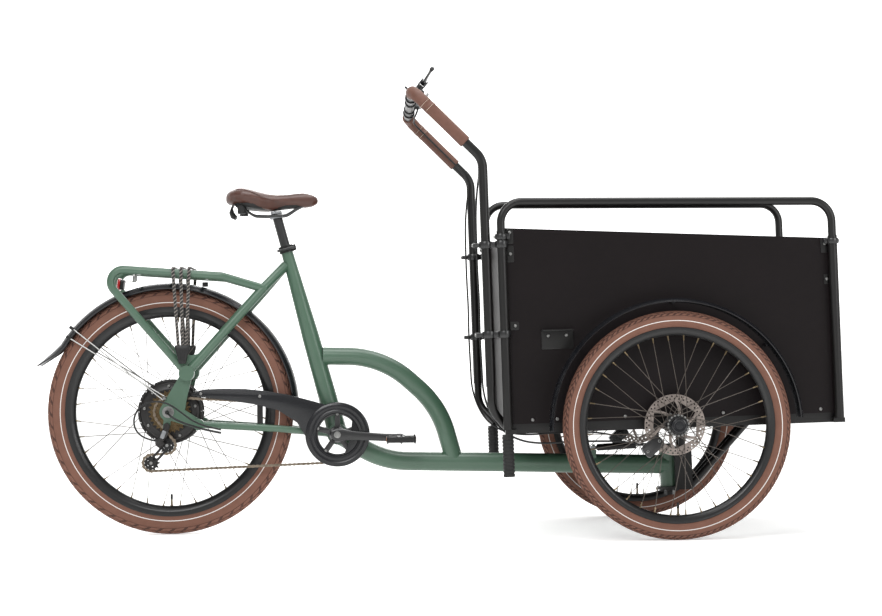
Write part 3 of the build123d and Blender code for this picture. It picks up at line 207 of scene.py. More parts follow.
# Red acrylic lens: clear gloss over a deep red.
red_acrylic = finish_of("red_acrylic", "#7A0F10", "#A51A19", 6, (0.08, 0.16), 1.5, 0.05, coat_weight=0.6,
                        coat_roughness=0.05)
# Amber acrylic of the pedal reflectors.
amber_acrylic = finish_of("amber_acrylic", "#B0560E", "#D47A1B", 4, (0.1, 0.2), 1.2, 0.05, coat_weight=0.5,
                          coat_roughness=0.08)
# Grey display window.
display_glass = finish_of("display_glass", "#5C6164", "#70767A", 20, (0.1, 0.18), 1.0, 0.002,
                          coat_weight=0.5)


def braided_elastic():
    """Flat braided elastic: a diagonal twill of black and light grey yarn, about 5 mm to the repeat.

    It reads the band's own UV map, which is in mm along and across the band."""
    material = bpy.data.materials.new("braided_elastic")
    material.use_nodes = True
    tree = material.node_tree
    tree.nodes.clear()
    uv = add_node(tree, "ShaderNodeTexCoord").outputs["UV"]
    turned = add_node(tree, "ShaderNodeMapping", values={"Rotation": (0, 0, radians(38))},
                      links={"Vector": uv})
    twill = add_node(tree, "ShaderNodeTexWave", {"wave_profile": "SIN"},
                     {"Scale": 0.04, "Distortion": 0.25, "Detail": 1.0}, {"Vector": turned.outputs[0]})
    step = add_node(tree, "ShaderNodeMapRange", values={"From Min": 0.62, "From Max": 0.82},
                    links={"Value": twill.outputs["Fac"]})
    colour = add_node(tree, "ShaderNodeMix", {"data_type": "RGBA"},
                      {6: linear("#0E0D0D"), 7: linear("#6E6862")}, {0: step.outputs[0]})
    yarn = add_node(tree, "ShaderNodeTexWave", values={"Scale": 0.55, "Distortion": 0.4},
                    links={"Vector": turned.outputs[0]})
    relief = add_node(tree, "ShaderNodeBump", values={"Strength": 0.5, "Distance": 0.0003},
                      links={"Height": yarn.outputs["Fac"]})
    shader = add_node(tree, "ShaderNodeBsdfPrincipled", values={"Roughness": 0.82, "Sheen Weight": 0.3},
                      links={"Base Color": colour.outputs[2], "Normal": relief.outputs[0]})
    add_node(tree, "ShaderNodeOutputMaterial", links={"Surface": shader.outputs[0]})
    return material


elastic_webbing = braided_elastic()


# ---------------------------------------------------------------- making meshes
def shade(mesh, angle=38):
    """Smooth shading that breaks at real edges."""
    for face in mesh.polygons:
        face.use_smooth = True
    mesh.set_sharp_from_angle(angle=radians(angle))


def stand(name, mesh, material=None):
    """Puts a finished mesh into the scene."""
    mesh.name = name
    if material is not None:
        mesh.materials.clear()
        mesh.materials.append(material)
    piece = bpy.data.objects.new(name, mesh)
    scene.collection.objects.link(piece)
    return piece


def shell(name, points, faces, material, angle=38):
    """A closed mesh from points in metres, with doubles merged and faces turned outwards."""
    mesh = bpy.data.meshes.new(name)
    mesh.from_pydata([tuple(p) for p in points], [], faces)
    work = bmesh.new()
    work.from_mesh(mesh)
    bmesh.ops.remove_doubles(work, verts=work.verts, dist=1e-7)
    bmesh.ops.recalc_face_normals(work, faces=work.faces)
    work.to_mesh(mesh)
    work.free()
    shade(mesh, angle)
    return stand(name, mesh, material)


def lathe(name, profile, place, material, steps=64, closed=False, bands=(), angle=38):
    """A turned body: profile is (radius, height) in mm about the place's z axis.

    bands are (material, (first segment, last segment), ...) for bands of other materials."""
    rings = []
    points = []
    for radius, height in profile:
        if radius < 1e-6:
            rings.append([len(points)] * steps)
            points.append(place @ Vector((0, 0, height / 1000)))
            continue
        rings.append(list(range(len(points), len(points) + steps)))
        for k in range(steps):
            a = 2 * pi * k / steps
            points.append(place @ Vector((radius * cos(a) / 1000, radius * sin(a) / 1000, height / 1000)))
    faces, rows = [], []
    count = len(profile)
    for i in range(count if closed else count - 1):
        low, high = rings[i], rings[(i + 1) % count]
        for k in range(steps):
            corner = [low[k], low[(k + 1) % steps], high[(k + 1) % steps], high[k]]
            corner = list(dict.fromkeys(corner))
            if len(corner) > 2:
                faces.append(corner)
                rows.append(i)
    mesh = bpy.data.meshes.new(name)
    mesh.from_pydata([tuple(p) for p in points], [], faces)
    mesh.materials.append(material)
    for number, (other, *spans) in enumerate(bands, 1):
        mesh.materials.append(other)
        for face, row in zip(mesh.polygons, rows):
            if any(first <= row <= last for first, last in spans):
                face.material_index = number
    work = bmesh.new()
    work.from_mesh(mesh)
    bmesh.ops.recalc_face_normals(work, faces=work.faces)
    work.to_mesh(mesh)
    work.free()
    shade(mesh, angle)
    return stand(name, mesh)


def oval(centre, across, up, half_across, half_up, square=2.0, count=20):
    """A ring of points on a rounded section: square 2 is an ellipse, 4 and more nearly a box."""
    ring = []
    for k in range(count):
        a = 2 * pi * k / count
        c, s = cos(a), sin(a)
        x = abs(c) ** (2 / square) * (1 if c > 0 else -1) * half_across / 1000
        y = abs(s) ** (2 / square) * (1 if s > 0 else -1) * half_up / 1000
        ring.append(centre + across * x + up * y)
    return ring


def loft(name, rings, material, angle=38, join_ends=False):
    """Skins rings of equal count, and closes both ends."""
    count = len(rings[0])
    points = [p for ring in rings for p in ring]
    faces = []
    for i in range(len(rings) if join_ends else len(rings) - 1):
        low, high = i * count, ((i + 1) % len(rings)) * count
        faces += [(low + k, low + (k + 1) % count, high + (k + 1) % count, high + k) for k in range(count)]
    if not join_ends:
        faces.append(tuple(range(count - 1, -1, -1)))
        faces.append(tuple(range(len(points) - count, len(points))))
    return shell(name, points, faces, material, angle)


def as_mesh(piece):
    """The plain mesh of an object with its curve or modifiers worked out."""
    bpy.context.view_layer.update()
    graph = bpy.context.evaluated_depsgraph_get()
    mesh = bpy.data.meshes.new_from_object(piece.evaluated_get(graph))
    data = piece.data
    bpy.data.objects.remove(piece)
    if isinstance(data, bpy.types.Curve):
        bpy.data.curves.remove(data)
    return mesh


def plate(name, loops, thickness, place, material, edge=0.3):
    """A flat plate with holes: loops are outlines in mm on the place's x and y, centred on it."""
    outline = bpy.data.curves.new(name, "CURVE")
    outline.dimensions = "2D"
    outline.fill_mode = "BOTH"
    outline.extrude = (thickness / 2 - edge) / 1000
    outline.bevel_depth = edge / 1000
    outline.bevel_resolution = 1
    outline.offset = -edge / 1000
    for loop in loops:
        spline = outline.splines.new("POLY")
        spline.points.add(len(loop) - 1)
        for point, (x, y) in zip(spline.points, loop):
            point.co = (x / 1000, y / 1000, 0, 1)
        spline.use_cyclic_u = True
    holder = bpy.data.objects.new(name, outline)
    scene.collection.objects.link(holder)
    mesh = as_mesh(holder)
    work = bmesh.new()
    work.from_mesh(mesh)
    bmesh.ops.remove_doubles(work, verts=work.verts, dist=1e-6)
    bmesh.ops.recalc_face_normals(work, faces=work.faces)
    work.to_mesh(mesh)
    work.free()
    mesh.transform(place)
    shade(mesh, 30)
    return stand(name, mesh, material)


def circle(radius, x=0.0, y=0.0, count=24, start=0.0):
    return [(x + radius * cos(start + 2 * pi * k / count), y + radius * sin(start + 2 * pi * k / count))
            for k in range(count)]


def rounded_box(length, width, radius, x=0.0, y=0.0, count=5):
    """The outline of a rectangle with rounded corners."""
    loop = []
    for k, (sx, sy) in enumerate(((1, 1), (-1, 1), (-1, -1), (1, -1))):
        for i in range(count):
            a = pi / 2 * (k + i / (count - 1))
            loop.append((x + sx * (length / 2 - radius) + radius * cos(a),
                         y + sy * (width / 2 - radius) + radius * sin(a)))
    return loop


def block(name, place, length, width, height, radius, material):
    """A moulded block with rounded upright edges and softened top and bottom, centred on its place."""
    return plate(name, [rounded_box(length, width, radius)], height, place, material,
                 edge=min(1.2, height / 4))


def tube(name, points, radius, material, sides=3, smooth=False, cyclic=False):
    """A round bar, wire or hose through points; smooth makes one flowing curve of them."""
    line = bpy.data.curves.new(name, "CURVE")
    line.dimensions = "3D"
    line.bevel_depth = radius / 1000
    line.bevel_resolution = sides
    line.use_fill_caps = True
    spline = line.splines.new("NURBS" if smooth else "POLY")
    spline.points.add(len(points) - 1)
    for point, place in zip(spline.points, points):
        point.co = (*place, 1)
    if smooth:
        spline.order_u = 3
        spline.use_endpoint_u = True
        line.resolution_u = 8
    spline.use_cyclic_u = cyclic
    holder = bpy.data.objects.new(name, line)
    scene.collection.objects.link(holder)
    mesh = as_mesh(holder)
    work = bmesh.new()
    work.from_mesh(mesh)
    bmesh.ops.remove_doubles(work, verts=work.verts, dist=1e-7)
    bmesh.ops.recalc_face_normals(work, faces=work.faces)
    work.to_mesh(mesh)
    work.free()
    shade(mesh)
    return stand(name, mesh, material)


def joined(name, pieces):
    """Several pieces of one body as one mesh, keeping their materials."""
    work = bmesh.new()
    materials = []
    for piece in pieces:
        mesh = piece.data
        first = len(work.faces)
        work.from_mesh(mesh)
        work.faces.ensure_lookup_table()
        for slot in mesh.materials:
            if slot not in materials:
                materials.append(slot)
        for face in work.faces[first:]:
            face.material_index = materials.index(mesh.materials[face.material_index])
        bpy.data.objects.remove(piece)
    mesh = bpy.data.meshes.new(name)
    work.to_mesh(mesh)
    work.free()
    for material in materials:
        mesh.materials.append(material)
    return stand(name, mesh)


def hand_over(piece, body, slot, *nodes):
    """Rides on its body and stands for the nodes it replaces; slot is not used."""
    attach(piece, body)
    if nodes:
        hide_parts(*nodes)
    return piece


# ---------------------------------------------------------------- trees for what repeats
def socket(tree, name, kind, side="INPUT"):
    tree.interface.new_socket(name, in_out=side, socket_type="NodeSocket" + kind)


def round_tree():
    """Copies of the incoming piece turned about an axis across the bike."""
    tree = bpy.data.node_groups.new("copies_round_an_axle", "GeometryNodeTree")
    socket(tree, "Piece", "Geometry")
    socket(tree, "Count", "Int")
    socket(tree, "Centre", "Vector")
    socket(tree, "Finish", "Material")
    socket(tree, "Copies", "Geometry", "OUTPUT")
    given = add_node(tree, "NodeGroupInput").outputs
    seats = add_node(tree, "GeometryNodePoints", links={"Count": given["Count"],
                                                        "Position": given["Centre"]})
    number = add_node(tree, "GeometryNodeInputIndex")
    step = add_node(tree, "ShaderNodeMath", {"operation": "DIVIDE"}, {0: 2 * pi}, {1: given["Count"]})
    turn = add_node(tree, "ShaderNodeMath", {"operation": "MULTIPLY"}, None,
                    {0: number.outputs[0], 1: step.outputs[0]})
    angles = add_node(tree, "ShaderNodeCombineXYZ", links={"Y": turn.outputs[0]})
    copies = add_node(tree, "GeometryNodeInstanceOnPoints",
                      links={"Points": seats.outputs[0], "Instance": given["Piece"],
                             "Rotation": angles.outputs[0]})
    real = add_node(tree, "GeometryNodeRealizeInstances", links={"Geometry": copies.outputs[0]})
    done = add_node(tree, "GeometryNodeSetMaterial", links={"Geometry": real.outputs[0],
                                                            "Material": given["Finish"]})
    add_node(tree, "NodeGroupOutput", links={"Copies": done.outputs[0]})
    return tree


def path_tree(pivot):
    """Copies of a piece along the incoming curve, their x along it; every so many are skipped."""
    tree = bpy.data.node_groups.new("copies_along_a_path_" + pivot.lower(), "GeometryNodeTree")
    socket(tree, "Path", "Geometry")
    socket(tree, "Piece", "Object")
    socket(tree, "Count", "Int")
    socket(tree, "Every", "Int")
    socket(tree, "First", "Int")
    socket(tree, "Finish", "Material")
    socket(tree, "Copies", "Geometry", "OUTPUT")
    given = add_node(tree, "NodeGroupInput").outputs
    even = add_node(tree, "GeometryNodeResampleCurve", links={"Curve": given["Path"],
                                                              "Count": given["Count"]})
    tangent = add_node(tree, "GeometryNodeInputTangent")
    lean = add_node(tree, "FunctionNodeAlignEulerToVector", {"axis": "X", "pivot_axis": pivot},
                    links={"Vector": tangent.outputs[0]})
    number = add_node(tree, "GeometryNodeInputIndex")
    place = add_node(tree, "ShaderNodeMath", {"operation": "MODULO"}, None,
                     {0: number.outputs[0], 1: given["Every"]})
    chosen = add_node(tree, "ShaderNodeMath", {"operation": "COMPARE"}, {2: 0.1},
                      {0: place.outputs[0], 1: given["First"]})
    source = add_node(tree, "GeometryNodeObjectInfo", links={"Object": given["Piece"]})
    copies = add_node(tree, "GeometryNodeInstanceOnPoints",
                      links={"Points": even.outputs[0], "Selection": chosen.outputs[0],
                             "Instance": source.outputs["Geometry"], "Rotation": lean.outputs[0]})
    real = add_node(tree, "GeometryNodeRealizeInstances", links={"Geometry": copies.outputs[0]})
    done = add_node(tree, "GeometryNodeSetMaterial", links={"Geometry": real.outputs[0],
                                                            "Material": given["Finish"]})
    add_node(tree, "NodeGroupOutput", links={"Copies": done.outputs[0]})
    return tree


def seat_tree():
    """A head on every vertex, its z along one direction, each turned by a seeded random angle."""
    tree = bpy.data.node_groups.new("heads_on_seats", "GeometryNodeTree")
    socket(tree, "Seats", "Geometry")
    socket(tree, "Head", "Object")
    socket(tree, "Direction", "Vector")
    socket(tree, "Finish", "Material")
    socket(tree, "Heads", "Geometry", "OUTPUT")
    given = add_node(tree, "NodeGroupInput").outputs
    spin = add_node(tree, "FunctionNodeRandomValue", {"data_type": "FLOAT"}, {"Max": 2 * pi, "Seed": 7})
    twist = add_node(tree, "ShaderNodeCombineXYZ", links={"Z": spin.outputs[1]})
    lean = add_node(tree, "FunctionNodeAlignEulerToVector", {"axis": "Z", "pivot_axis": "AUTO"},
                    links={"Vector": given["Direction"]})
    both = add_node(tree, "FunctionNodeRotateEuler", {"rotation_type": "EULER", "space": "LOCAL"}, None,
                    {"Rotation": lean.outputs[0], "Rotate By": twist.outputs[0]})
    source = add_node(tree, "GeometryNodeObjectInfo", links={"Object": given["Head"]})
    copies = add_node(tree, "GeometryNodeInstanceOnPoints",
                      links={"Points": given["Seats"], "Instance": source.outputs["Geometry"],
                             "Rotation": both.outputs[0]})
    real = add_node(tree, "GeometryNodeRealizeInstances", links={"Geometry": copies.outputs[0]})
    done = add_node(tree, "GeometryNodeSetMaterial", links={"Geometry": real.outputs[0],
                                                            "Material": given["Finish"]})
    add_node(tree, "NodeGroupOutput", links={"Heads": done.outputs[0]})
    return tree


ROUND = round_tree()
FLAT_PATH = path_tree("Y")
FREE_PATH = path_tree("AUTO")
SEATS = seat_tree()


def grow(piece, tree, finish, **inputs):
    """Runs a tree on a piece and returns its result as a plain mesh object."""
    name = piece.name
    modifier = piece.modifiers.new("repeat", "NODES")
    modifier.node_group = tree
    inputs["Finish"] = finish
    for item in tree.interface.items_tree:
        if item.in_out == "INPUT" and item.name in inputs:
            modifier[item.identifier] = inputs[item.name]
    mesh = as_mesh(piece)
    shade(mesh)
    return stand(name, mesh, finish)


def screw_head(name, radius, height, key):
    """A domed cap screw: the head's rim, crown and key socket, standing on z = 0."""
    profile = [(0, -0.5), (radius, -0.5), (radius, height * 0.45), (radius * 0.86, height * 0.82),
               (radius * 0.6, height), (key, height), (key, height * 0.45), (0, height * 0.4)]
    head = lathe(name, profile, Matrix(), zinc_steel, steps=12)
    head.hide_render = True
    return head


def screws(name, seats, direction, head, finish):
    """Screw heads on a list of points, all facing one way."""
    mesh = bpy.data.meshes.new(name)
    mesh.from_pydata([tuple(p) for p in seats], [], [])
    return grow(stand(name, mesh), SEATS, finish, Head=head, Direction=tuple(direction))


def scrap(*pieces):
    for piece in pieces:
        bpy.data.objects.remove(piece)


# ---------------------------------------------------------------- wheels
REAR_AXLE = spot(0, 0, 340)


def tread_pad(tyre_radius, section, height, spans, slant):
    """One raised tread block on a tyre at the origin: spans are (round the wheel, across), in degrees."""
    (turn_low, turn_high), (lean_low, lean_high) = spans
    points, faces = [], []
    rows, columns = 3, 4
    for layer in (0, 1):
        grow_by = height * layer - 0.4 * (1 - layer)
        for i in range(rows):
            for j in range(columns):
                s, t = i / (rows - 1), j / (columns - 1)
                pull = 0.86 if layer else 1.0
                s, t = 0.5 + (s - 0.5) * pull, 0.5 + (t - 0.5) * pull
                lean = radians(lean_low + (lean_high - lean_low) * t)
                turn = radians(turn_low + (turn_high - turn_low) * s + slant * t)
                reach = (tyre_radius - section + (section - height + grow_by) * cos(lean)) / 1000
                points.append(Vector((reach * cos(turn), (section - height + grow_by) * sin(lean) / 1000,
                                      reach * sin(turn))))
    half = rows * columns
    for i in range(rows - 1):
        for j in range(columns - 1):
            a = i * columns + j
            faces.append((a, a + 1, a + columns + 1, a + columns))
            faces.append((half + a, half + a + columns, half + a + columns + 1, half + a + 1))
    edge = [j for j in range(columns)] + [i * columns + columns - 1 for i in range(1, rows)]
    edge += [(rows - 1) * columns + j for j in range(columns - 2, -1, -1)]
    edge += [i * columns for i in range(rows - 2, 0, -1)]
    for k, a in enumerate(edge):
        b = edge[(k + 1) % len(edge)]
        faces.append((a, b, half + b, half + a))
    return points, faces


def tread(name, centre, y_mid, tyre_radius, section, height, pads, count):
    """The whole tread: one pitch of pads, repeated round the tyre."""
    points, faces = [], []
    for spans, slant in pads:
        for mirror in (1, -1):
            new_points, new_faces = tread_pad(tyre_radius, section, height, spans, slant)
            faces += [tuple(len(points) + k for k in face) for face in new_faces]
            half_turn = radians(180 / count) if mirror < 0 else 0
            turn = Matrix.Rotation(half_turn, 4, "Y")
            points += [turn @ Vector((p.x, p.y * mirror, p.z)) for p in new_points]
    pitch = shell(name, points, faces, tan_tread_rubber, 50)
    middle = Vector((centre.x, y_mid / 1000, centre.z))
    return grow(pitch, ROUND, tan_tread_rubber, Count=count, Centre=tuple(middle))


def tyre_carcass(name, centre, y_mid, tyre_radius, section, rim_radius, rim_half, height, stripe,
                 tread_edge):
    """The casing: round section, a reflective line on each wall, and beads that sit in the rim."""
    core = section - height
    lean_end = degrees(acos((rim_radius + 1 - tyre_radius + section) / core))
    leans = [-lean_end + 2 * lean_end * k / 58 for k in range(59)]
    profile = [(tyre_radius - section + core * cos(radians(a)), core * sin(radians(a))) for a in leans]
    profile += [(rim_radius - 2, rim_half - 3), (rim_radius - 2, -rim_half + 3)]
    low = min(range(59), key=lambda k: abs(leans[k] + stripe))
    high = min(range(59), key=lambda k: abs(leans[k] - stripe))
    # groove marks where the band under the tread starts: the casing's crown between the tread edges takes
    # the darker rubber as painted shade
    groove = min(range(59), key=lambda k: abs(leans[k] + tread_edge))
    middle = Vector((centre.x, y_mid / 1000, centre.z))
    return lathe(name, profile, axle_place(middle), tan_tyre_rubber, steps=160, closed=True,
                 bands=((reflective_tape, (low, low), (high, high)),
                        (groove_rubber, (groove, 57 - groove))), angle=60)


def rim_shell(name, centre, y_mid, radius, depth, half):
    """A deep rim: rolled edges, flat brake walls and a rounded V down to the spokes."""
    profile = [(radius + 1.2, half - 2.2), (radius + 1.6, half - 1), (radius + 0.8, half),
               (radius - 2, half),
               (radius - 2.6, half - 0.5), (radius - depth * 0.42, half - 0.5),
               (radius - depth * 0.55, half * 0.9),
               (radius - depth * 0.8, half * 0.6), (radius - depth * 0.94, half * 0.36), (radius - depth, 3),
               (radius - depth, -3), (radius - depth * 0.94, -half * 0.36),
               (radius - depth * 0.8, -half * 0.6),
               (radius - depth * 0.55, -half * 0.9), (radius - depth * 0.42, -half + 0.5),
               (radius - 2.6, -half + 0.5), (radius - 2, -half), (radius + 0.8, -half),
               (radius + 1.6, -half + 1),
               (radius + 1.2, -half + 2.2), (radius - 4, -half + 3), (radius - 4, half - 3)]
    middle = Vector((centre.x, y_mid / 1000, centre.z))
    return lathe(name, profile, axle_place(middle), black_anodised_rim, steps=160, closed=True, angle=30)


def spoke_set(name, centre, y_mid, hub_radius, flange_half, hub_middle, reach, cross):
    """36 laced spokes and their nipples: four of each are made, and turned round nine times."""
    wires, nipples = [], []
    for index in range(4):
        side = 1 if index % 2 else -1
        lead = 1 if (index // 2) % 2 else -1
        at_rim = 2 * pi * (index + 0.5) / 36
        at_hub = at_rim + lead * radians(cross)
        flange = hub_middle + side * flange_half
        outside = flange + side * lead * 1.6
        head = Vector((hub_radius * cos(at_hub), flange - side * lead * 2.2,
                       hub_radius * sin(at_hub))) / 1000
        bend = Vector((hub_radius * cos(at_hub), outside, hub_radius * sin(at_hub))) / 1000
        end = Vector((reach * cos(at_rim), side * 3.0, reach * sin(at_rim))) / 1000
        leave = bend + (end - bend).normalized() * 0.004
        wires.append(tube(name + str(index), [head, bend, leave, end], 0.95, stainless_wire, sides=1))
        direction = (bend - end).normalized()
        grip = [(0, -1), (2.3, -1), (2.3, 1.5), (1.9, 3), (1.7, 12), (1.2, 13), (0, 13)]
        nipples.append(lathe(name + "_nipple" + str(index), grip,
                             placed(end, Vector((0, 1, 0.01)), direction),
                             nickel_brass, steps=8))
    middle = tuple(Vector((centre.x, y_mid / 1000, centre.z)))
    wires = grow(joined(name + "_wire", wires), ROUND, stainless_wire, Count=9, Centre=middle)
    nipples = grow(joined(name + "_nipples", nipples), ROUND, nickel_brass, Count=9, Centre=middle)
    return [wires, nipples]


def valve(name, centre, y_mid, rim_inner):
    """A tyre valve that stands up from the rim's lowest point: stem, lock nut and cap."""
    foot = Vector((centre.x, y_mid / 1000, centre.z - (rim_inner + 1) / 1000))
    place = placed(foot, Vector((1, 0, 0)), Vector((0, 0, 1)))
    stem = lathe(name, [(0, -3), (3, -3), (3, 2), (4.6, 2), (4.6, 4), (3, 4.5), (2.8, 20), (0, 20)], place,
                 nickel_brass, steps=16)
    cap = lathe(name + "_cap", [(0, 19), (3.4, 19), (3.6, 20), (3.4, 31), (2.4, 33.5), (0, 34)], place,
                moulded_nylon, steps=16)
    return [stem, cap]


def toothed(teeth, root, tip, width=0.42):
    """The outline of a chain sprocket."""
    loop = []
    for k in range(teeth):
        a = 2 * pi * k / teeth
        half = pi / teeth
        for share, radius in ((-1.0, root), (-0.55, root + 0.5), (-width, (root + tip) / 2), (-0.14, tip),
                              (0.14, tip), (width, (root + tip) / 2), (0.55, root + 0.5)):
            loop.append((radius * cos(a + half * share), radius * sin(a + half * share)))
    return loop


def pitch_radius(teeth):
    return 12.7 / (2 * sin(pi / teeth))


bolt_small = screw_head("bolt_small", 3.0, 2.4, 1.3)
bolt_big = screw_head("bolt_big", 4.6, 3.6, 2.2)

# Rear wheel: balloon tyre with broad slanted blocks.
rear_pads = [(((-2.5, 2.5), (2, 19)), 1.6), (((-2.3, 2.3), (23, 41)), -1.6), (((-2.2, 2.2), (45, 62)), 1.6)]
rear_casing = tyre_carcass("rear_tyre_casing", REAR_AXLE, 0, 340, 29, 291, 17, 1.6, 111, 64)
rear_tread = tread("rear_tyre_tread", REAR_AXLE, 0, 340, 29, 1.6, rear_pads, 60)
hand_over(rear_casing, "rear_wheel", "brown_tyre", "rear_tyre")
hand_over(rear_tread, "rear_wheel", "brown_tyre")
rear_rim = joined("rear_rim_shell", [rim_shell("rear_rim_part", REAR_AXLE, 0, 291, 29, 17)]
                  + valve("rear_valve", REAR_AXLE, 0, 262))
hand_over(rear_rim, "rear_wheel", "black_rim", "rear_rim")

# Hub motor: cast shell with a stepped cover, two spoke flanges and cover screws.
casing_profile = [(7.2, -29), (34, -29), (36, -31), (62, -31), (66, -29), (76, -28), (81, -25), (83, -21),
                  (83, -8), (81.5, -7), (81.5, -5), (83, -4), (83, 22), (81.5, 23), (81.5, 25), (83, 26),
                  (83, 44),
                  (81, 49), (76, 52), (54, 53), (51, 56), (49, 61), (44, 62), (22, 62), (20, 60), (7.2, 60)]
motor_parts = [lathe("motor_shell", casing_profile, axle_place(REAR_AXLE), enamelled_casting, 96, True,
                     angle=25)]
for flange_y in (-23, 43):
    holes = [circle(1.5, 86.2 * cos(2 * pi * k / 18), 86.2 * sin(2 * pi * k / 18), 6) for k in range(18)]
    rim_of_flange = plate("motor_flange", [circle(89, count=72), circle(82.5, count=72)] + holes, 4.5,
                          placed(REAR_AXLE + Vector((0, flange_y / 1000, 0)), Vector((1, 0, 0)), -LEFT),
                          enamelled_casting)
    motor_parts.append(rim_of_flange)
motor_casing = joined("motor_casing", motor_parts)
hand_over(motor_casing, "rear_wheel", "motor_black", "motor_hub")
for part in spoke_set("rear_spokes", REAR_AXLE, 0, 86.5, 33, 10, 262, 28):
    hand_over(part, "rear_wheel", "steel_silver")
cover_seats = [REAR_AXLE + Vector((0.0705 * cos(a), -0.0285, 0.0705 * sin(a)))
               for a in [2 * pi * (k + 0.3) / 9 for k in range(9)]]
hand_over(screws("motor_cover_screws", cover_seats, -LEFT, bolt_big, zinc_steel), "rear_wheel",
          "steel_silver")
far_seats = [REAR_AXLE + Vector((0.0665 * cos(a), 0.0525, 0.0665 * sin(a)))
             for a in [2 * pi * (k + 0.3) / 9 for k in range(9)]]
hand_over(screws("motor_far_screws", far_seats, LEFT, bolt_big, zinc_steel), "rear_wheel", "steel_silver")

# Front wheels: narrower tyres with fine slanted lugs, disc rotors and sealed hubs.
front_pads = [(((-1.1, 1.1), (2, 14)), 1.2), (((-1.05, 1.05), (19, 36)), -1.6),
              (((-0.95, 0.95), (42, 58)), 1.7)]
for side, name in ((-1, "right"), (1, "left")):
    y_mid = side * 395
    axle = spot(1352, 0, 298)
    middle = spot(1352, y_mid, 298)
    body = name + "_wheel"
    casing = tyre_carcass(name + "_tyre_casing", axle, y_mid, 298, 24, 254, 14, 1.5, 97, 60)
    hand_over(casing, body, "brown_tyre", name + "_tyre")
    lugs = tread(name + "_tyre_tread", axle, y_mid, 298, 24, 1.5, front_pads, 104)
    hand_over(lugs, body, "brown_tyre")
    rim = joined(name + "_rim_shell", [rim_shell(name + "_rim_part", axle, y_mid, 254, 20, 14)]
                 + valve(name + "_valve", axle, y_mid, 234))
    hand_over(rim, body, "black_rim", name + "_rim")
    barrel = [(7.6, -34), (11, -34), (13, -31), (24, -30), (24, -28), (17, -25), (14.5, -20), (14.5, 20),
              (17, 25), (21, 28), (21, 31), (14, 32), (14, 34), (7.6, 34)]
    place = placed(middle, Vector((1, 0, 0)), LEFT * side)
    shell_parts = [lathe(name + "_barrel", barrel, place, anodised_forging, 40, True, angle=28)]
    cap_profile = [(7.6, 33), (19, 33), (21, 34.5), (21, 42), (19, 44.6), (16, 45.6), (15, 44.4), (11, 44),
                   (10, 45.4), (0, 45.8), (0, 43), (7.6, 42.6)]
    shell_parts.append(lathe(name + "_cap", cap_profile, place, moulded_gloss_black, 48, False, angle=28))
    for flange in (-26, 26):
        holes = [circle(1.3, 26.6 * cos(2 * pi * k / 18), 26.6 * sin(2 * pi * k / 18), 6) for k in range(18)]
        shell_parts.append(plate(name + "_flange", [circle(29, count=48), circle(14, count=32)] + holes, 3,
                                 placed(middle + LEFT * (flange / 1000), Vector((1, 0, 0)), -LEFT),
                                 anodised_forging))
    hub = joined(name + "_hub_shell", shell_parts)
    hand_over(hub, body, "black_alloy", name + "_hub")
    for part in spoke_set(name + "_spokes", axle, y_mid, 26.6, 26, 0, 234, 62):
        hand_over(part, body, "steel_silver")
    heads = [middle + Vector((0.0266 * cos(a), side * 0.0288, 0.0266 * sin(a)))
             for a in [2 * pi * (k + 0.5) / 18 for k in range(18)]]
    hand_over(screws(name + "_spoke_heads", heads, LEFT * side, bolt_small, zinc_steel), body,
              "steel_silver")
    tip = screws(name + "_axle_screw", [middle + LEFT * side * 0.0412], LEFT * side, bolt_big, zinc_steel)
    hand_over(tip, body, "steel_silver")
    # rotor: a perforated band on six swept arms
    loops = [circle(80, count=96)]
    for arm in range(6):
        a = 2 * pi * arm / 6
        b = 2 * pi * (arm + 1) / 6
        window = []
        for r in (26, 34, 44, 54, 63):
            window.append((r * cos(a + 0.5 * (r - 23) / 43 + 4.2 / r),
                           r * sin(a + 0.5 * (r - 23) / 43 + 4.2 / r)))
        for r in (63, 54, 44, 34, 26):
            window.append((r * cos(b + 0.5 * (r - 23) / 43 - 4.2 / r),
                           r * sin(b + 0.5 * (r - 23) / 43 - 4.2 / r)))
        loops.append(window)
    for k in range(36):
        a = 2 * pi * k / 36
        loops.append(circle(2.3, 68.2 * cos(a), 68.2 * sin(a), 8))
        loops.append(circle(2.3, 74.6 * cos(a + 0.09), 74.6 * sin(a + 0.09), 8))
    loops.append(circle(17, count=32))
    rotor = plate(name + "_rotor", loops, 1.9, placed(middle - LEFT * side * 0.033, Vector((1, 0, 0)),
                                                      -LEFT),
                  brushed_disc_steel, edge=0.15)
    hand_over(rotor, body, "steel_silver")

# ---------------------------------------------------------------- drivetrain
CHAIN_Y = -52
RING_R, COG_R, PULLEY_R = pitch_radius(38), pitch_radius(20), pitch_radius(11)
CHAIN_RUN = [(0, 340, COG_R, -1), (463, 272, RING_R, -1), (-50, 200, PULLEY_R, -1), (-6, 248, PULLEY_R, 1)]


def tangent(first, second):
    """The straight run of the chain between two sprockets (x, z, radius, turn)."""
    x1, z1, r1, s1 = first
    x2, z2, r2, s2 = second
    span = hypot(x2 - x1, z2 - z1)
    lean = atan2(z2 - z1, x2 - x1) - asin((s2 * r2 - s1 * r1) / span) - pi / 2
    start = (x1 + s1 * r1 * cos(lean), z1 + s1 * r1 * sin(lean))
    return start, (x2 + s2 * r2 * cos(lean), z2 + s2 * r2 * sin(lean))


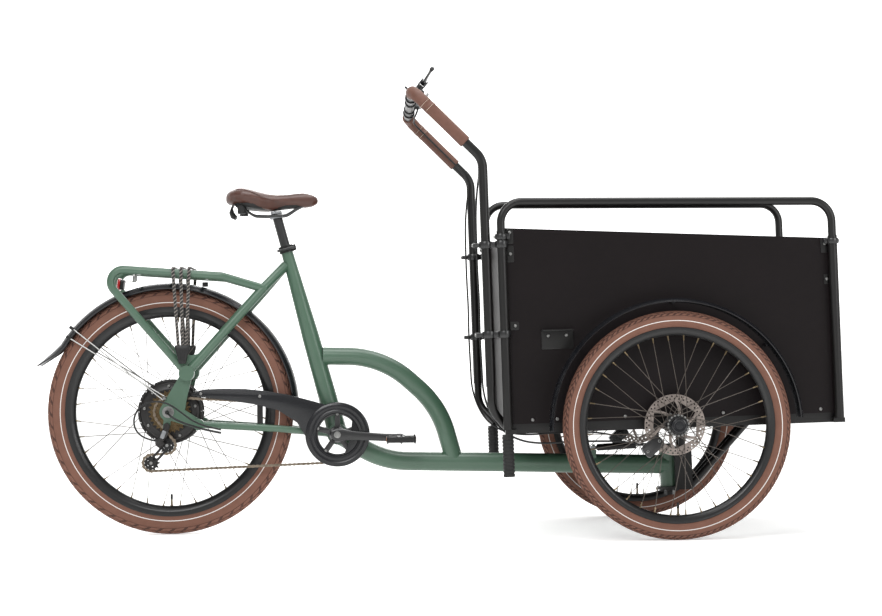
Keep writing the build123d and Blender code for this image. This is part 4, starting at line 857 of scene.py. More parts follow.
def chain_line():
    """The chain's closed middle line, in mm."""
    runs = [tangent(CHAIN_RUN[i], CHAIN_RUN[(i + 1) % 4]) for i in range(4)]
    line = []
    for i, (x, z, r, s) in enumerate(CHAIN_RUN):
        arrive, leave = runs[i - 1][1], runs[i][0]
        a1 = atan2(arrive[1] - z, arrive[0] - x)
        a2 = atan2(leave[1] - z, leave[0] - x)
        turn = (a2 - a1) % (2 * pi) if s > 0 else -((a1 - a2) % (2 * pi))
        for k in range(25):
            line.append((x + r * cos(a1 + turn * k / 24), z + r * sin(a1 + turn * k / 24)))
    return line


line = chain_line()
length = sum(hypot(line[i][0] - line[i - 1][0], line[i][1] - line[i - 1][1]) for i in range(len(line)))
links = 2 * round(length / 12.7 / 2)


def side_plates(name, apart, thick, reach):
    """Two figure of eight link plates and their pins or roller, centred on the origin."""
    outline = []
    for end in (1, -1):
        for k in range(9):
            a = -pi / 2 + pi * k / 8
            outline.append((end * (6.35 + 3.9 * cos(a)), end * 3.9 * sin(a)))
        outline.append((0, end * 2.7))
    parts = []
    for y in (-apart, apart):
        place = placed(Vector((0, y / 1000, 0)), Vector((1, 0, 0)), -LEFT)
        parts.append(plate(name, [outline], thick, place, oiled_chain_steel, edge=0.12))
    for x in (-6.35, 6.35):
        place = axle_place(Vector((x / 1000, 0, 0)))
        profile = [(0, -reach), (1.8, -reach), (1.8, reach), (0, reach)]
        parts.append(lathe(name + "_pin", profile, place, oiled_chain_steel, steps=8))
    link = joined(name, parts)
    link.hide_render = True
    return link


outer_link = side_plates("outer_link", 2.55, 0.8, 3.0)
inner_link = side_plates("inner_link", 1.65, 0.8, 1.2)
chain_parts = []
for first, link in ((0, outer_link), (1, inner_link)):
    path = bpy.data.curves.new("chain_path", "CURVE")
    path.dimensions = "3D"
    spline = path.splines.new("POLY")
    spline.points.add(len(line) - 1)
    for point, (x, z) in zip(spline.points, line):
        point.co = (*spot(x, CHAIN_Y, z), 1)
    spline.use_cyclic_u = True
    holder = bpy.data.objects.new("chain_links_" + str(first), path)
    scene.collection.objects.link(holder)
    chain_parts.append(grow(holder, FLAT_PATH, oiled_chain_steel, Piece=link, Count=links, Every=2,
                            First=first))
drive_chain = joined("drive_chain", chain_parts)
hand_over(drive_chain, "rear_frame", "chain_steel", "chain")
scrap(outer_link, inner_link)

cogs = []
for step in range(7):
    teeth = 28 - 2 * step if step < 6 else 14
    y = -(36 + 4 * step)
    pitch = pitch_radius(teeth)
    loops = [toothed(teeth, pitch - 4.3, pitch + 2.4), circle(19, count=32)]
    if teeth > 20:
        loops += [circle(4.0, (pitch + 12) / 2 * cos(2 * pi * k / 7),
                         (pitch + 12) / 2 * sin(2 * pi * k / 7), 10)
                  for k in range(7)]
    place = placed(REAR_AXLE + LEFT * (y / 1000), Vector((1, 0, 0)), -LEFT)
    cogs.append(plate("cog", loops, 1.9, place, bronzed_steel, edge=0.25))
cogs.append(lathe("cog_body", [(17.1, -63), (20, -63), (20, -33), (17.1, -33)], axle_place(REAR_AXLE),
                  enamelled_casting, 40, True))
freewheel = joined("freewheel_cogs", cogs)
hand_over(freewheel, "freewheel", "chain_steel", "freewheel")

BRACKET = spot(463, 0, 272)
ring_place = placed(spot(463, CHAIN_Y, 272), Vector((1, 0, 0)), -LEFT)
windows = []
for arm in range(5):
    a = pi / 2 + 2 * pi * arm / 5
    b = a + 2 * pi / 5
    window = [(r * cos(a + 7.5 / r), r * sin(a + 7.5 / r)) for r in (25, 38, 55)]
    window += [(57 * cos(a + 0.13 + (b - a - 0.26) * k / 4), 57 * sin(a + 0.13 + (b - a - 0.26) * k / 4))
               for k in range(5)]
    window += [(r * cos(b - 7.5 / r), r * sin(b - 7.5 / r)) for r in (55, 38, 25)]
    windows.append(window)
ring_parts = [plate("ring_plate", [toothed(38, RING_R - 4.3, RING_R + 2.4), circle(54, count=48)], 2.6,
                    ring_place,
                    anodised_forging, edge=0.4)]
ring_parts.append(plate("spider", [circle(60, count=60)] + windows + [circle(8.6, count=20)], 5.6,
                        ring_place,
                        anodised_forging, edge=0.9))
ring_parts.append(lathe("spider_boss", [(8.6, -66), (19, -66), (21, -63), (22, -56), (22, -50), (8.6, -50)],
                        axle_place(BRACKET), anodised_forging, 40, True))
chainring = joined("chainring_and_spider", ring_parts)
hand_over(chainring, "crankset", "black_alloy", "chainring")
ring_bolts = [spot(463 + 56.5 * cos(pi / 2 + 2 * pi * k / 5), CHAIN_Y - 2.6,
                   272 + 56.5 * sin(pi / 2 + 2 * pi * k / 5))
              for k in range(5)]
hand_over(screws("chainring_bolts", ring_bolts, -LEFT, bolt_big, zinc_steel), "crankset", "steel_silver")

CRANK_TILT = radians(-4)
arms = []
for side in (-1, 1):
    out = LEFT * side
    way = Vector((cos(CRANK_TILT), 0, sin(CRANK_TILT))) * -side
    rise = Vector((-sin(CRANK_TILT), 0, cos(CRANK_TILT)))
    rings = []
    for reach, wide, thick, shift in ((-18.5, 4, 5, 73), (-17, 10, 7, 73), (-10, 16.5, 7.2, 73),
                                      (0, 18, 7.4, 73),
                                      (14, 16.5, 7.2, 73), (34, 13.4, 6.6, 73), (80, 11.2, 5.6, 73),
                                      (130, 10.4, 5.4, 73.4), (160, 11.8, 6.2, 73.4), (175, 13.2, 6.6, 73.4),
                                      (185, 9.5, 6.2, 73.4), (188.5, 3, 4, 73.4)):
        rings.append(oval(BRACKET + way * (reach / 1000) + out * (shift / 1000), rise, LEFT, wide, thick,
                          3.2, 24))
    arms.append(loft("crank_arm", rings, anodised_forging, 40))
    end = BRACKET + way * 0.175
    arms.append(lathe("pedal_pin", [(0, 66.5), (4, 66.5), (4, 83), (4, 165), (0, 165)],
                      placed(end, Vector((1, 0, 0)), out), zinc_steel, 20))
arms.append(lathe("spindle", [(0, -66), (8.5, -66), (8.5, 66), (0, 66)], axle_place(BRACKET), zinc_steel,
                  24))
crank_arms = joined("crank_arm_pair", arms)
hand_over(crank_arms, "crankset", "black_alloy", "crank_arms")
crank_caps = []
for side in (-1, 1):
    crank_caps.append(lathe("crank_cap", [(0, 80.2), (9, 80.2), (9.6, 81), (9, 82.6), (6, 83), (5, 82),
                                          (0, 82)],
                            placed(BRACKET, Vector((1, 0, 0)), LEFT * side), zinc_steel, 32))
hand_over(joined("crank_bolts", crank_caps), "crankset", "steel_silver")

for side, name in ((-1, "right"), (1, "left")):
    x = 463 - side * 175 * cos(CRANK_TILT)
    z = 272 - side * 175 * sin(CRANK_TILT)
    y = side * (83 + 45)
    flat = placed(spot(x, y, z), Vector((1, 0, 0)), Vector((0, 0, 1)))
    wells = [rounded_box(26, 62, 3, -23, 0), rounded_box(26, 62, 3, 23, 0)]
    parts = [plate("pedal_cage", [rounded_box(80, 90, 9)] + wells, 16, flat, moulded_nylon, edge=1.2)]
    barrel_place = placed(spot(x, side * 83, z), Vector((1, 0, 0)), LEFT * side)
    parts.append(lathe("pedal_barrel", [(4.1, 0.4), (9, 0.4), (9, 86), (7, 89), (4.1, 89)], barrel_place,
                       moulded_nylon, 24, True))
    # studs on the tread faces
    stud = screw_head("pedal_stud", 2.0, 3.4, 0.8)
    for up in (-1, 1):
        seats = [spot(x + sx, y + sy, z + up * 7.8) for sx in (-37, 0, 37) for sy in (-34, -12, 12, 34)]
        parts.append(screws("studs", seats, (0, 0, up), stud, moulded_nylon))
    for front in (-1, 1):
        place = placed(spot(x + front * 39.4, y, z), LEFT, Vector((front, 0, 0)))
        parts.append(block("reflector", place, 52, 12, 2.4, 2, amber_acrylic))
    scrap(stud)
    pedal = joined("pedal_body_" + name, parts)
    hand_over(pedal, "pedal_" + name, "black_plastic", "pedal_" + name)

# Derailleur: knuckle on the hanger, parallelogram, second knuckle, cage and toothed pulleys.
mech = [tube("mech_bolt", [spot(-4, -75.5, 302), spot(-4, -89, 302)], 8.5, enamelled_casting, 5)]
knuckle_rings = []
for x, y, z, a, b in ((-4, -81, 305, 3, 3), (-4, -81, 303, 9, 6), (-5, -82, 296, 11, 7),
                      (-9, -83, 284, 10, 7.5),
                      (-14, -80, 272, 12, 9), (-22, -73, 262, 13, 9.5), (-25, -70, 256, 12, 9),
                      (-26, -69, 250, 8, 6), (-26, -69, 247, 3, 3)):
    knuckle_rings.append(oval(spot(x, y, z), Vector((1, 0, 0.3)).normalized(), LEFT, a, b, 2.6, 20))
mech.append(loft("mech_arm", knuckle_rings, enamelled_casting, 50))
mech.append(lathe("mech_knuckle", [(0, 61), (9, 61), (12.5, 63), (13, 66), (13, 72), (11, 75), (6, 76),
                                   (0, 76)],
                  placed(spot(-24, 0, 256), Vector((1, 0, 0)), -LEFT), enamelled_casting, 32))
mech.append(block("mech_badge", placed(spot(-13, -90.3, 279), Vector((0.4, 0, 1)), -LEFT), 22, 11, 2.0, 2,
                  cast_aluminium))
derailleur = joined("derailleur_arm", mech)
hand_over(derailleur, "rear_frame", "black_alloy", "derailleur_body")
span = Vector((-50 + 6, 0, 200 - 248))
slot_length = span.length
cage_middle = spot(-28, 0, 224)
cage = []
for y in (-58.8, -45.2):
    outline = []
    for end in (1, -1):
        for k in range(11):
            a = -pi / 2 + pi * k / 10
            outline.append((end * (slot_length / 2 + 10 * cos(a)), end * 10 * sin(a)))
    opening = rounded_box(slot_length - 20, 8, 3.5)
    cage.append(plate("cage_plate", [outline, opening], 1.4,
                      placed(cage_middle + LEFT * (y / 1000), span.normalized(), -LEFT), moulded_nylon, 0.3))
for x, z in ((-6, 248), (-50, 200)):
    cage.append(lathe("cage_axle", [(0, -60.4), (4.2, -60.4), (4.2, -59.4), (3, -59.3), (3, -45),
                                    (4, -44.4), (0, -44.4)],
                      axle_place(spot(x, 0, z)), zinc_steel, 16))
hand_over(joined("derailleur_cage_plates", cage), "rear_frame", "black_alloy", "derailleur_cage")
for name, x, z in (("upper_pulley", -6, 248), ("lower_pulley", -50, 200)):
    place = placed(spot(x, CHAIN_Y, z), Vector((1, 0, 0)), -LEFT)
    wheel = plate(name + "_wheel", [toothed(11, PULLEY_R - 4.2, PULLEY_R + 1.6), circle(3.1, count=14)]
                  + [circle(2.3, 10 * cos(2 * pi * k / 5), 10 * sin(2 * pi * k / 5), 8) for k in range(5)],
                  2.4, place, moulded_nylon, 0.3)
    hand_over(wheel, name, "black_plastic", name)

# Chain guard: a long bowed blade, and a ridged ring round the chainring.
guard_outline = [(60, 384), (70, 392), (84, 398), (100, 401), (150, 402.5), (210, 401), (270, 394),
                 (330, 383),
                 (390, 367), (440, 351), (480, 338), (505, 318), (500, 262), (480, 214), (440, 196),
                 (400, 214),
                 (378, 262), (352, 306), (300, 341), (240, 357), (180, 367), (120, 375)]
guard = [plate("guard_blade", [guard_outline, circle(60, 463, 272, 64)], 2.8, side_place(-59),
               moulded_gloss_black, 0.9)]
guard.append(lathe("guard_ring", [(58, -60.5), (60, -62.2), (66, -63.4), (70, -62), (74, -62), (78, -63.6),
                                  (84, -63),
                                  (88, -61), (89, -58.5), (88, -57.5), (58, -57.5)], axle_place(BRACKET),
                   moulded_gloss_black, 96, True, angle=24))
guard.append(block("guard_bracket", placed(spot(250, -54.2, 333), Vector((1, 0, 0)), -LEFT), 16, 58, 3.6, 2,
                   black_powder_coat))
chain_guard = joined("chain_guard_blade", guard)
hand_over(chain_guard, "rear_frame", "gloss_black", "chain_guard")
guard_seats = [spot(88, -60.4, 389), spot(250, -60.4, 380)]
hand_over(screws("chain_guard_bolts", guard_seats, -LEFT, bolt_big, zinc_steel), "rear_frame",
          "steel_silver")


# ---------------------------------------------------------------- nodes that keep their CAD shape
def refinish(material, *nodes):
    """Gives CAD nodes a finish through their own material slots."""
    for node in nodes:
        for slot in NODES[node].material_slots:
            slot.link = "OBJECT"
            slot.material = material


refinish(green_powder_coat, "bottom_bracket_shell", "seat_tube", "main_tube", "arch_tube", "dropouts",
         "seatstays",
         "chainstays", "rear_rack")
refinish(black_powder_coat, "pivot_bracket", "front_chassis", "corner_posts", "top_rail_right",
         "top_rail_left",
         "bar_uprights", "handlebar_tube", "seat_clamp")
refinish(film_faced_plywood, "box_floor", "box_panels")
refinish(moulded_gloss_black, "front_mudguards")
refinish(zinc_steel, "rear_axle")
refinish(anodised_forging, "clamp_lever")


# ---------------------------------------------------------------- rear mudguard, light and straps
def guard_ring(middle, outward, half, crown, thick):
    """One section of a mudguard: a crowned channel with thicker rolled lips."""
    ring = []
    for k in range(17):
        t = -1 + 2 * k / 16
        ring.append(middle + LEFT * (half * t / 1000) - outward * (crown * abs(t) ** 2.6 / 1000))
    for k in range(17):
        t = 1 - 2 * k / 16
        inset = thick + (1.2 if abs(t) > 0.9 else 0)
        dropped = (crown * abs(t) ** 2.6 + inset) / 1000
        ring.append(middle + LEFT * ((half - 0.8) * t / 1000) - outward * dropped)
    return ring


rings = []
for k in range(73):
    a = radians(4 + 144 * k / 72)
    outward = Vector((cos(a), 0, sin(a)))
    rings.append(guard_ring(REAR_AXLE + outward * 0.357, outward, 34, 14, 2))
root = REAR_AXLE + Vector((cos(radians(148)), 0, sin(radians(148)))) * 0.356
tip = spot(-365, 0, 473)
fall = (tip - root).normalized()
lift = LEFT.cross(fall) * -1
if lift.x > 0:
    lift = -lift
for t in (0.25, 0.5, 0.75, 0.97, 1.0):
    rings.append(guard_ring(root.lerp(tip, t), lift, 34 + 3 * t - (1.5 if t == 1.0 else 0),
                            14 * (1 - t) + 1.5, 2.4))
guard_parts = [loft("guard_blade_rear", rings, moulded_gloss_black, 50)]
guard_parts.append(block("guard_tab", placed(spot(98, 0, 692), Vector((1, 0, 0)), Vector((0, 0, 1))), 16,
                         14, 13, 2,
                         black_powder_coat))
rear_guard = joined("rear_mudguard_blade", guard_parts)
hand_over(rear_guard, "rear_frame", "gloss_black", "rear_mudguard")
stays, clips = [], []
for side in (-1, 1):
    for offset in (0, 26):
        start = spot(-8 - offset * 0.2, side * 79, 382 - offset * 0.35)
        end = spot(-276 + offset * 0.35, side * 37.5, 548 + offset)
        stays.append(tube("guard_stay", [start, end], 2.0, zinc_steel, 2))
        clips.append(block("stay_clip", placed(end, Vector((0.85, 0, -0.53)), LEFT), 15, 9, 6, 2.5,
                           moulded_nylon))
    eye = placed(spot(-10, side * 79, 378), Vector((1, 0, 0)), LEFT * side)
    stays.append(lathe("stay_eye", [(0, -3), (6, -3), (6, 2), (4, 4.5), (0, 5)], eye, zinc_steel, 20))
hand_over(joined("mudguard_stays", stays), "rear_frame", "steel_silver")
hand_over(joined("mudguard_stay_clips", clips), "rear_frame", "black_plastic")

lamp = placed(spot(-136, 0, 694), LEFT, Vector((-1, 0, 0.12)))
housing = [block("lamp_housing", lamp @ Matrix.Translation((0, 0, -0.0045)), 40, 28, 10, 7, moulded_nylon)]
housing.append(block("lamp_bracket", placed(spot(-112, 0, 701.5), Vector((1, 0, 0)), Vector((0, 0, 1))), 36,
                     14, 2.6,
                     2, zinc_steel))
housing.append(block("lamp_post", placed(spot(-97, 0, 712), Vector((1, 0, 0)), Vector((0, 0, 1))), 12, 12,
                     19, 2,
                     zinc_steel))
lamp_body = joined("lamp_body", housing)
lens_rings = [oval(lamp @ Vector((0, 0, h / 1000)), (lamp.to_3x3() @ Vector((1, 0, 0))),
                   (lamp.to_3x3() @ Vector((0, 1, 0))), a, b, 4.5, 40)
              for h, a, b in ((0.2, 22.6, 16.6), (5, 22.8, 16.8), (7.6, 21.4, 15.4), (8.9, 17, 11.5))]
lens = loft("lamp_lens", lens_rings, red_acrylic, 35)
hand_over(lamp_body, "rear_frame", "black_plastic", "rear_light")
hand_over(lens, "rear_frame", "red_lens")


def band(name, points, across, width, thick, material):
    """A flat strap along points, with its own UV map in mm along and across it."""
    verts, faces, mapped = [], [], []
    run = 0.0
    for i, point in enumerate(points):
        before, after = points[max(i - 1, 0)], points[min(i + 1, len(points) - 1)]
        if i:
            run += (point - points[i - 1]).length * 1000
        wide = across.normalized()
        out = (after - before).normalized().cross(wide).normalized()
        for sx, sy in ((-1, -0.55), (-0.86, -1), (0.86, -1), (1, -0.55), (1, 0.55), (0.86, 1), (-0.86, 1),
                       (-1, 0.55)):
            verts.append(point + wide * (sx * width / 2000) + out * (sy * thick / 2000))
            mapped.append((run, sx * width / 2 + (0 if sy < 0 else 40)))
    for i in range(len(points) - 1):
        for k in range(8):
            faces.append((8 * i + k, 8 * i + (k + 1) % 8, 8 * i + 8 + (k + 1) % 8, 8 * i + 8 + k))
    faces.append(tuple(range(7, -1, -1)))
    faces.append(tuple(range(len(verts) - 8, len(verts))))
    mesh = bpy.data.meshes.new(name)
    mesh.from_pydata([tuple(v) for v in verts], [], faces)
    uv = mesh.uv_layers.new(name="along")
    for loop in mesh.loops:
        uv.data[loop.index].uv = mapped[loop.vertex_index]
    work = bmesh.new()
    work.from_mesh(mesh)
    bmesh.ops.recalc_face_normals(work, faces=work.faces)
    work.to_mesh(mesh)
    work.free()
    shade(mesh, 50)
    return stand(name, mesh, material)


bands = []
for index, x in enumerate((18, 40, 62)):
    for side in (-1, 1):
        low = 42 + (index - 1) * 11
        climb = [spot(low + (x - low) * t, side * 95.2, 521 + 205 * t) for t in (0, 0.2, 0.4, 0.6, 0.8, 1.0)]
        climb += [spot(x, side * 95, 730), spot(x, side * 93.6, 734), spot(x, side * 90.5, 736.4),
                  spot(x, side * 84, 737), spot(x, 0, 736.6)]
        bands.append(band("luggage_band", climb, Vector((1, 0, 0)), 8.6, 3.2, elastic_webbing))
straps = joined("luggage_bands", bands)
hand_over(straps, "rear_frame", "strap_webbing", "luggage_straps")
hooks = []
for side in (-1, 1):
    sections = ((523, 19, 3.2), (519, 20.5, 5.4), (512, 19.5, 6.2), (496, 15, 6.4), (480, 11.5, 6.0),
                (474, 10.5, 5.2),
                (472.2, 8, 3.6))
    rings = [oval(spot(42, side * 98.4, z), Vector((1, 0, 0)), LEFT, a, b, 4.0, 28) for z, a, b in sections]
    hooks.append(loft("band_hook", rings, moulded_nylon, 45))
    hooks.append(block("band_hook_rib", placed(spot(42, side * 104.6, 497), Vector((1, 0, 0)), LEFT), 10,
                       34, 1.6, 2,
                       moulded_nylon))
hand_over(joined("band_hooks", hooks), "rear_frame", "black_plastic")

# ---------------------------------------------------------------- seat post and saddle
SEAT_FOOT, SEAT_TOP = spot(463, 0, 272), spot(322, 0, 796)
SEAT_UP = (SEAT_TOP - SEAT_FOOT).normalized()
SEAT_LENGTH = (SEAT_TOP - SEAT_FOOT).length * 1000
post_place = placed(SEAT_FOOT, LEFT, SEAT_UP)
post_low, post_high = SEAT_LENGTH - 220, SEAT_LENGTH + 84
post_parts = [lathe("post_tube", [(11.4, post_low), (13.6, post_low), (13.6, post_high - 6),
                                  (12.6, post_high),
                                  (11.4, post_high)], post_place, anodised_forging, 48, True)]
head = SEAT_FOOT + SEAT_UP * (post_high / 1000)
post_parts.append(block("post_cradle", placed(head + Vector((-0.002, 0, 0.0005)), Vector((1, 0, 0.15)),
                                              Vector((-0.15, 0, 1))), 36, 42, 7, 5, cast_aluminium))
post_parts.append(block("post_yoke", placed(head + Vector((-0.002, 0, 0.0125)), Vector((1, 0, 0.1)),
                                            Vector((-0.1, 0, 1))), 30, 48, 7, 5, cast_aluminium))
post_parts.append(tube("post_bolt", [head + Vector((-0.008, 0, -0.012)), head + Vector((-0.006, 0, 0.020))],
                       3.4,
                       zinc_steel, 3))
for side in (-1, 1):
    rail = [spot(196, side * 28, 908), spot(206, side * 27, 904), spot(232, side * 22, 884),
            spot(246, side * 22, 880), spot(318, side * 22, 880), spot(332, side * 20, 885),
            spot(360, side * 13, 904), spot(374, side * 11, 908)]
    post_parts.append(tube("saddle_rail", rail, 3.4, anodised_forging, 3, smooth=True))
hand_over(joined("seatpost_and_rails", post_parts), "saddle_post", "black_alloy", "seatpost")

# Saddle stations from tail to nose: x, half width, top, lowest edge (mm).
stations = [(-114, 26, 938, 921), (-110, 44, 946, 916), (-100, 62, 953, 915), (-84, 78, 957, 914),
            (-66, 87, 957, 910),
            (-44, 84, 953, 904), (-20, 72, 946, 898), (4, 57, 940, 896), (28, 44, 937, 900),
            (54, 34, 938, 905),
            (82, 28, 941, 907), (108, 24, 943, 905), (128, 20, 941, 908), (139, 13, 935, 914),
            (144, 6, 928, 919)]


def saddle_ring(x, half, top, low):
    """One section of the saddle: a crowned top that rolls over the edge and tucks in below."""
    ring = []
    tall = (top - low) / 2
    middle = spot(272 + x, 0, low + tall)
    for k in range(40):
        a = 2 * pi * k / 40
        c, s = cos(a), sin(a)
        y = half * (1 if c > 0 else -1) * abs(c) ** 0.72 * (0.93 if s < 0 else 1.0)
        z = tall * (1 if s > 0 else -1) * abs(s) ** (0.86 if s > 0 else 0.6)
        groove = 2.2 * max(0, 1 - (y / 9) ** 2) * max(0, 1 - ((x + 10) / 90) ** 2) if s > 0 else 0
        ring.append(middle + LEFT * (y / 1000) + Vector((0, 0, (z - groove) / 1000)))
    return ring


def settled(piece, voxel_mm, cap_mm):
    """Foam filled leather: remeshed, swollen a little as cloth under pressure, and held to a cap."""
    remesh = piece.modifiers.new("even_skin", "REMESH")
    remesh.mode = "VOXEL"
    remesh.voxel_size = voxel_mm / 1000
    name = piece.name
    piece = stand(name, as_mesh(piece), saddle_leather)
    start = [v.co.copy() for v in piece.data.vertices]
    cloth = piece.modifiers.new("foam_pressure", "CLOTH")
    cloth.settings.use_pressure = True
    cloth.settings.uniform_pressure_force = 4
    cloth.settings.effector_weights.gravity = 0
    cloth.point_cache.frame_end = 20
    for frame_number in range(1, 21):
        scene.frame_set(frame_number)
    swollen = as_mesh(piece)
    scene.frame_set(1)
    for vertex, origin in zip(swollen.vertices, start):
        move = vertex.co - origin
        if move.length > cap_mm / 1000:
            vertex.co = origin + move.normalized() * (cap_mm / 1000)
    piece = stand(name, swollen, saddle_leather)
    smooth = piece.modifiers.new("soften", "SMOOTH")
    smooth.iterations = 4
    smooth.factor = 0.4
    fine = piece.modifiers.new("finer_skin", "SUBSURF")
    fine.levels = fine.render_levels = 1
    mesh = as_mesh(piece)
    for face in mesh.polygons:
        face.use_smooth = True
    return stand(name, mesh, saddle_leather)


cover = loft("saddle_skin", [saddle_ring(*s) for s in stations], saddle_leather, 60)
cover = settled(cover, 4, 2.2)
hand_over(cover, "saddle_post", "brown_leather", "saddle_cover")


def on_saddle(x, side, rise):
    """A point on the saddle's skin at a share of its height, from the nearest stations."""
    for low, high in zip(stations, stations[1:]):
        if low[0] <= x <= high[0]:
            t = (x - low[0]) / (high[0] - low[0])
            half, top, foot = (low[i] + (high[i] - low[i]) * t for i in (1, 2, 3))
            c = sqrt(max(0.0, 1 - rise ** (2 / 0.86)))
            tall = (top - foot) / 2
            return spot(272 + x, side * (half * c ** 0.72 + 0.6), foot + tall + tall * rise + 1.0)
    return spot(272 + x, 0, 940)


seams = []
for side in (-1, 1):
    seam_line = [on_saddle(x, side, r) for x, r in ((-84, 0.82), (-66, 0.74), (-44, 0.66), (-20, 0.52),
                                                    (0, 0.34),
                                                    (16, 0.16), (28, 0.04))]
    seams.append(tube("saddle_seam", seam_line, 0.9, saddle_leather, 2, smooth=True))
    hand_over(seams[-1], "saddle_post", "brown_leather")
stitch = shell("stitch", [Vector(p) / 1000 for p in
                          ((-1.6, 0, 0), (-0.8, 0.45, 0), (-0.8, 0, 0.45), (-0.8, -0.45, 0),
                           (-0.8, 0, -0.45),
                           (0.8, 0.45, 0), (0.8, 0, 0.45), (0.8, -0.45, 0), (0.8, 0, -0.45), (1.6, 0, 0))],
               [(0, 1, 2), (0, 2, 3), (0, 3, 4), (0, 4, 1), (1, 5, 6, 2), (2, 6, 7, 3), (3, 7, 8, 4),
                (4, 8, 5, 1),
                (9, 6, 5), (9, 7, 6), (9, 8, 7), (9, 5, 8)], linen_thread)
stitch.hide_render = True


def stitched(name, points, count, finish, every=1):
    """A row of stitches along a smooth line."""
    path = bpy.data.curves.new(name, "CURVE")
    path.dimensions = "3D"
    spline = path.splines.new("POLY")
    spline.points.add(len(points) - 1)
    for point, place in zip(spline.points, points):
        point.co = (*place, 1)
    holder = bpy.data.objects.new(name, path)
    scene.collection.objects.link(holder)
    return grow(holder, FREE_PATH, finish, Piece=stitch, Count=count, Every=every, First=0)


tray_rings = []
for h, share in ((894, 0.4), (897, 0.62), (901, 0.74), (908, 0.8), (914, 0.82)):
    ring = []
    for x, half, top, low in stations:
        ring.append(spot(272 + x * share, -half * share, h + 0.04 * abs(x) * (h < 910)))
    for x, half, top, low in reversed(stations):
        ring.append(spot(272 + x * share, half * share, h + 0.04 * abs(x) * (h < 910)))
    tray_rings.append(ring)
tray = [loft("saddle_tray", tray_rings, moulded_nylon, 40)]
for side in (-1, 1):
    spring_place = placed(spot(205, side * 45, 885), Vector((1, 0, 0)), Vector((0, 0, 1)))
    spring = [(0, 0), (11, 0), (13, 2), (11.5, 5), (13, 8), (11.5, 11), (13, 14), (11.5, 17), (13, 20),
              (12, 24), (0, 24)]
    tray.append(lathe("elastomer_spring", spring, spring_place, moulded_rubber, 32, angle=60))
bumper = [oval(spot(x, 0, z), LEFT, Vector((0.5, 0, 0.86)), a, b, 3.4, 28)
          for x, z, a, b in ((176, 908, 30, 8), (172, 896, 33, 9), (176, 884, 30, 9), (186, 876, 22, 6))]
tray.append(loft("elastomer_bumper", bumper, moulded_rubber, 50))
hand_over(joined("saddle_tray_and_springs", tray), "saddle_post", "black_plastic", "saddle_base")

# ---------------------------------------------------------------- box fittings
fitting_parts, bolt_seats, post_bolts = [], {-1: [], 1: []}, []
for side in (-1, 1):
    plates = [(12, 492, 18, 40, ((0, 10),)), (12, 445, 18, 44, ((0, 0),)), (16, 255, 24, 22, ((2, 0),)),
              (848, 440, 22, 40, ((0, 4),)), (850, 350, 16, 26, ((0, 0),)),
              (128, 216, 84, 52, ((-24, 10), (24, 10)))]
    for u, w, length, height, bolts in plates:
        place = placed(deck(u, side * 323.4, w), ALONG, Vector((0, -1, 0)))
        fitting_parts.append(block("fitting_plate", place, length, height, 2.5, 3, black_powder_coat))
        bolt_seats[side] += [deck(u + bu, side * 324.6, w + bw) for bu, bw in bolts]
    for u in (55, 120, 300, 420, 560, 700, 820):
        bolt_seats[side].append(deck(u, side * 322.1, 6))
    ledge = placed(deck(128, side * 338.6, 239.5), ALONG, UP)
    fitting_parts.append(block("fitting_ledge", ledge, 84, 28, 3, 3, black_powder_coat))
    for u, top in ((-11, 506), (866.5, 465)):
        ring_place = placed(deck(u, side * 334.7, top - 22), ALONG, UP)
        fitting_parts.append(lathe("post_clamp", [(12.55, 0), (16, 0), (16.5, 1), (16.5, 13), (16, 14),
                                                  (12.55, 14)],
                                   ring_place, anodised_forging, 40, True, angle=30))
        lug = placed(deck(u - (14 if u > 0 else -14) * 1.1, side * 334.7, top - 15), ALONG, UP)
        fitting_parts.append(block("clamp_lug", lug, 15, 12, 13, 2.5, anodised_forging))
        post_bolts.append(deck(u + (17 if u > 0 else -17), side * 334.7, top - 15))
    for w in (225, 462):
        mast_ring = placed(deck(-52, side * 320, w), ALONG, UP)
        post_ring = placed(deck(-11, side * 334.7, w), ALONG, UP)
        ring_profile = [(12.6, 0), (17, 0), (17.5, 1), (17.5, 17), (17, 18), (12.6, 18)]
        fitting_parts.append(lathe("mast_clamp", ring_profile, mast_ring, anodised_forging, 40, True,
                                   angle=30))
        post_profile = [(12.6, 0), (16, 0), (16.5, 1), (16.5, 17), (16, 18), (12.6, 18)]
        fitting_parts.append(lathe("mast_clamp_post", post_profile, post_ring, anodised_forging, 40, True,
                                   angle=30))
        bridge = placed(deck(-31.5, side * 327.4, w + 9), ALONG + LEFT * (side * 0.36), UP)
        fitting_parts.append(block("mast_clamp_bridge", bridge, 15, 16, 16, 2, anodised_forging))
        fitting_parts.append(tube("mast_clamp_screw", [deck(-86, side * 320, w + 9),
                                                       deck(-69, side * 320, w + 9)], 6,
                                  anodised_forging, 4))
        post_bolts.append(deck(-86, side * 320, w + 9))
fittings = joined("box_plates_and_clamps", fitting_parts)
hand_over(fittings, "front_module", "black_steel", "box_fittings")
for side in (-1, 1):
    name = "box_bolts_" + ("right" if side < 0 else "left")
    hand_over(screws(name, bolt_seats[side], LEFT * side, bolt_big, zinc_steel), "front_module",
              "steel_silver")
hand_over(screws("clamp_bolts", post_bolts, -ALONG, bolt_big, zinc_steel), "front_module", "steel_silver")

